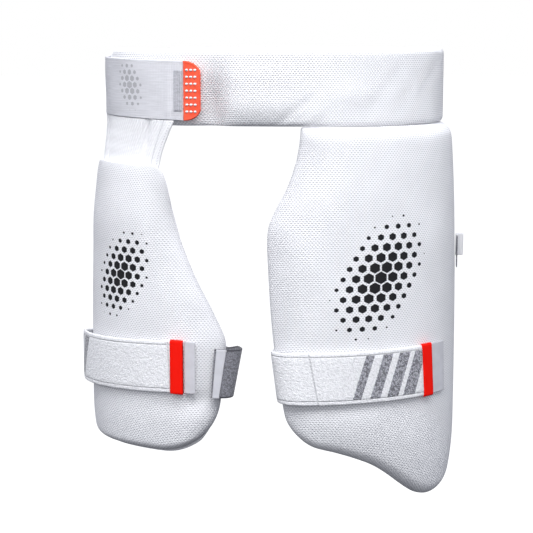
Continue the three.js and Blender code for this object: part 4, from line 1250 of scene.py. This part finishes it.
small_end_level = float(small_strap_height(-SMALL_END))
red_end("large_strap_red_end", LARGE_END, LARGE_LEVEL, LARGE["thickness"], LARGE_END_LEAN, "large_strap_end")
red_end("small_strap_red_end", -SMALL_END, small_end_level, SMALL["thickness"], 0.0, "small_strap_end")
_, large_patch_path = smooth_strip("large_smooth_strip", LARGE_END, PATCH["large"], LARGE_LEVEL,
                                   LARGE["thickness"], 0.05, "large_strap_patch")
_, small_patch_path = smooth_strip("small_smooth_strip", -SMALL_END, PATCH["small"], small_end_level,
                                   SMALL["thickness"], 0.0, "small_strap_patch")

anchor_path = Path()
lift = ELASTIC["thickness"] / 2 + SEAT + PATCH["thickness"] / 2
place, height, lean, outward, run = elastic_path.arrays()
for i in np.flatnonzero((run >= 1.5) & (run <= 10.5)):
    anchor_path.add(place[i] + outward[i] * lift, height[i], lean[i])
anchor = sweep("small_elastic_cover", anchor_path, ELASTIC["width"], PATCH["thickness"], patch_finish)
wear(anchor, "smooth_patch", "small_elastic_anchor")

# %% Side tab
SIDE_TAB = {"girth": LARGE["front"] + LARGE["girth"] * 0.899, "top": -147.0, "height": 22.0, "reach": 7.5,
            "webbing": 1.4, "gap": 0.8}
foot = on_form(SIDE_TAB["girth"], SIDE_TAB["top"], LARGE["thickness"] + SEAT)
along = lean_along(SIDE_TAB["girth"], 1.0)
out = np.array([along[1], -along[0]])
loop_radius = (SIDE_TAB["webbing"] + SIDE_TAB["gap"]) / 2
straight = SIDE_TAB["reach"] - loop_radius - SIDE_TAB["webbing"] / 2
side_path = Path()
level = SIDE_TAB["top"] - SIDE_TAB["height"] / 2
outline = [(r, -loop_radius) for r in np.linspace(0, straight, 6)]
outline += [(straight + loop_radius * math.sin(a), -loop_radius * math.cos(a))
            for a in np.linspace(0.3, math.pi - 0.3, 9)]
outline += [(r, loop_radius) for r in np.linspace(straight, 0, 6)]
for reach, side in outline:
    side_path.add(foot[:2] + out * reach + along * side, level, (0, 0))
side_tab = sweep("side_tab_webbing", side_path, SIDE_TAB["height"], SIDE_TAB["webbing"], webbing_finish)
wear(side_tab, "webbing_white", "side_tab")

# Painted shade: a dark grey elastic strip beside the side tab's foot stands for the shade in the slot there, and it
# also serves as the tab's sewn base.
shade_patch_start, shade_patch_level, shade_patch_height = SIDE_TAB["girth"] - 9.5, SIDE_TAB["top"] - 17.5, 31.0
face_strip("side_tab_shade_patch", shade_patch_start, shade_patch_start + 9.0, shade_patch_level, shade_patch_height, LARGE["thickness"] + 0.5, 1.0, 0.0,
           elastic_finish, [], "elastic_grey")

# %% [markdown]
# ## Stitches
#
# Stitches repeat along a line, so one Geometry Nodes tree makes them all: it turns each line into
# a curve, sets a point at every stitch and puts a small rounded thread there, turned along the line.
# The lines are drawn a hair above the cloth, along the same paths as the tapes they hold.

# %% Tree for a row of stitches
stitch_tree, given, result = geometry_tree("row of stitches", [
    ("Pitch", "Float", 0.003), ("Length", "Float", 0.0022), ("Thickness", "Float", 0.0006), ("Material", "Material", None)])
tree = stitch_tree
curve = node(tree, "GeometryNodeMeshToCurve", {"Mesh": given["Geometry"]}).outputs["Curve"]
points = node(tree, "GeometryNodeResampleCurve", {"Curve": curve, "Length": given["Pitch"]}, mode="LENGTH").outputs["Curve"]
tangent = node(tree, "GeometryNodeInputTangent").outputs["Tangent"]
turned_to = node(tree, "FunctionNodeAlignRotationToVector", {"Vector": tangent}, axis="X").outputs["Rotation"]
ball = node(tree, "GeometryNodeMeshUVSphere", {"Segments": 6, "Rings": 4, "Radius": 0.5}).outputs["Mesh"]
stretch = node(tree, "ShaderNodeCombineXYZ", {"X": given["Length"], "Y": given["Thickness"], "Z": given["Thickness"]}).outputs[0]
thread = node(tree, "GeometryNodeTransform", {"Geometry": ball, "Scale": stretch}).outputs["Geometry"]
copies = node(tree, "GeometryNodeInstanceOnPoints", {"Points": points, "Instance": thread, "Rotation": turned_to}).outputs["Instances"]
real = node(tree, "GeometryNodeRealizeInstances", {"Geometry": copies}).outputs["Geometry"]
smooth = node(tree, "GeometryNodeSetShadeSmooth", {"Geometry": real}).outputs[0]
dressed = node(tree, "GeometryNodeSetMaterial", {"Geometry": smooth, "Material": given["Material"]}).outputs["Geometry"]
tree.links.new(dressed, result["Geometry"])


def stitch_lines(name, lines, slot, material, pitch=3.0, length=2.2, thickness=0.55):
    """Rows of stitches along lines of points in millimetres."""
    points, edges = [], []
    for line in lines:
        start = len(points)
        points += [tuple(p) for p in np.asarray(line) * 0.001]
        edges += [(i, i + 1) for i in range(start, len(points) - 1)]
    mesh = bpy.data.meshes.new(name)
    mesh.from_pydata(points, edges, [])
    piece = bpy.data.objects.new(name, mesh)
    scene.collection.objects.link(piece)
    grown(piece, stitch_tree, {"Pitch": pitch * 0.001, "Length": length * 0.001, "Thickness": thickness * 0.001,
                               "Material": material})
    piece.data.uv_layers.new(name="cloth")
    return wear(piece, slot)


# %% Sew the straps
def hem_lines(path, half_width, out):
    return [path.at(side * half_width, out) for side in (-1, 1)]


def cross_line(path, run_at, half_width, out, lean=0.0):
    """A line across the strap at a distance from its end."""
    run = path.arrays()[4]
    line = []
    for up in np.linspace(-half_width, half_width, 18):
        points = path.at(up, out)
        at = run_at + lean * up
        line.append([np.interp(at, run, points[:, k]) for k in range(3)])
    return line


HEM_LINE, SEAM_REACH, END_SEAM, LARGE_SEAM = 21.0, 20.5, 2.4, 114.0
groove = -(STRAP["thickness"] / 2 * 0.5 + 0.25)
seam_out = -STRAP["thickness"] / 2 - 0.05
large_sewn = [*hem_lines(large_path, HEM_LINE, groove), cross_line(large_path, END_SEAM, SEAM_REACH, seam_out),
              cross_line(large_path, LARGE_SEAM, SEAM_REACH, seam_out, 0.06)]
small_sewn = [*hem_lines(small_path, HEM_LINE, groove), cross_line(small_path, END_SEAM, SEAM_REACH, seam_out)]
stitch_lines("large_strap_stitches", large_sewn, "strap_terry", thread_finish)
stitch_lines("small_strap_stitches", small_sewn, "strap_terry", thread_finish)


def frame_line(path, half_width, inset, out):
    """A rectangle of stitches just inside a strip's edges."""
    top, low = path.at(half_width - inset, out), path.at(-half_width + inset, out)
    return [top, low, [top[0], low[0]], [top[-1], low[-1]]]


patch_out = PATCH["thickness"] / 2 + 0.05
patch_sewn = [line for path in (large_patch_path, small_patch_path) for line in frame_line(path, 25.0, 1.0, patch_out)]
patch_sewn += [anchor_path.at(up, patch_out) for up in (-22.0, 22.0)]
stitch_lines("patch_stitches", patch_sewn, "smooth_patch", thread_finish, pitch=2.4, length=1.8, thickness=0.4)

tab_face = TAB_STANDOFF + TAB["thickness"]
run = np.linspace(tab_start + 3, -TAB["end"] - 2, 90)
tab_lines = [on_form(run, tab_middle(run) + side * 24.0, tab_face - 0.1) for side in (-1, 1)]
for at in (-TAB["end"] - 12.0, tab_start + 4, tab_start + 16):
    up = np.linspace(-24.0, 24.0, 20)
    tab_lines.append(on_form(np.full(20, at), tab_middle(at) + up, tab_face))
stitch_lines("tab_stitches", tab_lines, "tab_elastic", thread_finish, pitch=2.4, length=1.8, thickness=0.4)

# %% Sew the hems of the knit
hem_down = np.linspace(0.04, 0.72, 40)
hem_height = bottom + (top[0, 0] - bottom) * (1 - hem_down)
hem_front = -(HANGER["edge"] + HANGER["inset"] * np.sin(hem_down * np.pi / 2))
hem_standoff = (TAB_STANDOFF + TAB["thickness"]) * hanger_face(hem_down) + 0.5
hem_rows = [on_form(hem_front - inset, hem_height, hem_standoff) for inset in (1.8, HANGER["hem"] - 1.2)]
stitch_lines("hanger_stitches", hem_rows, "hanger_knit", thread_finish, pitch=2.6, length=1.9, thickness=0.5)

# %% Grip studs on the badge
badge_face = TAB_STANDOFF + BADGE["thickness"] - 0.45
ribs_at = np.linspace(-19.0, 19.0, 7)
rib_girths = np.array([badge_start + 3.4, badge_start + 7.2, badge_start + 11.0])
rib_lines = [on_form(rib_girths, tab_middle(badge_start) + up, badge_face) for up in ribs_at]
stitch_lines("badge_ribs", rib_lines, "badge_rubber", grip_finish, pitch=3.8, length=3.3, thickness=2.3)
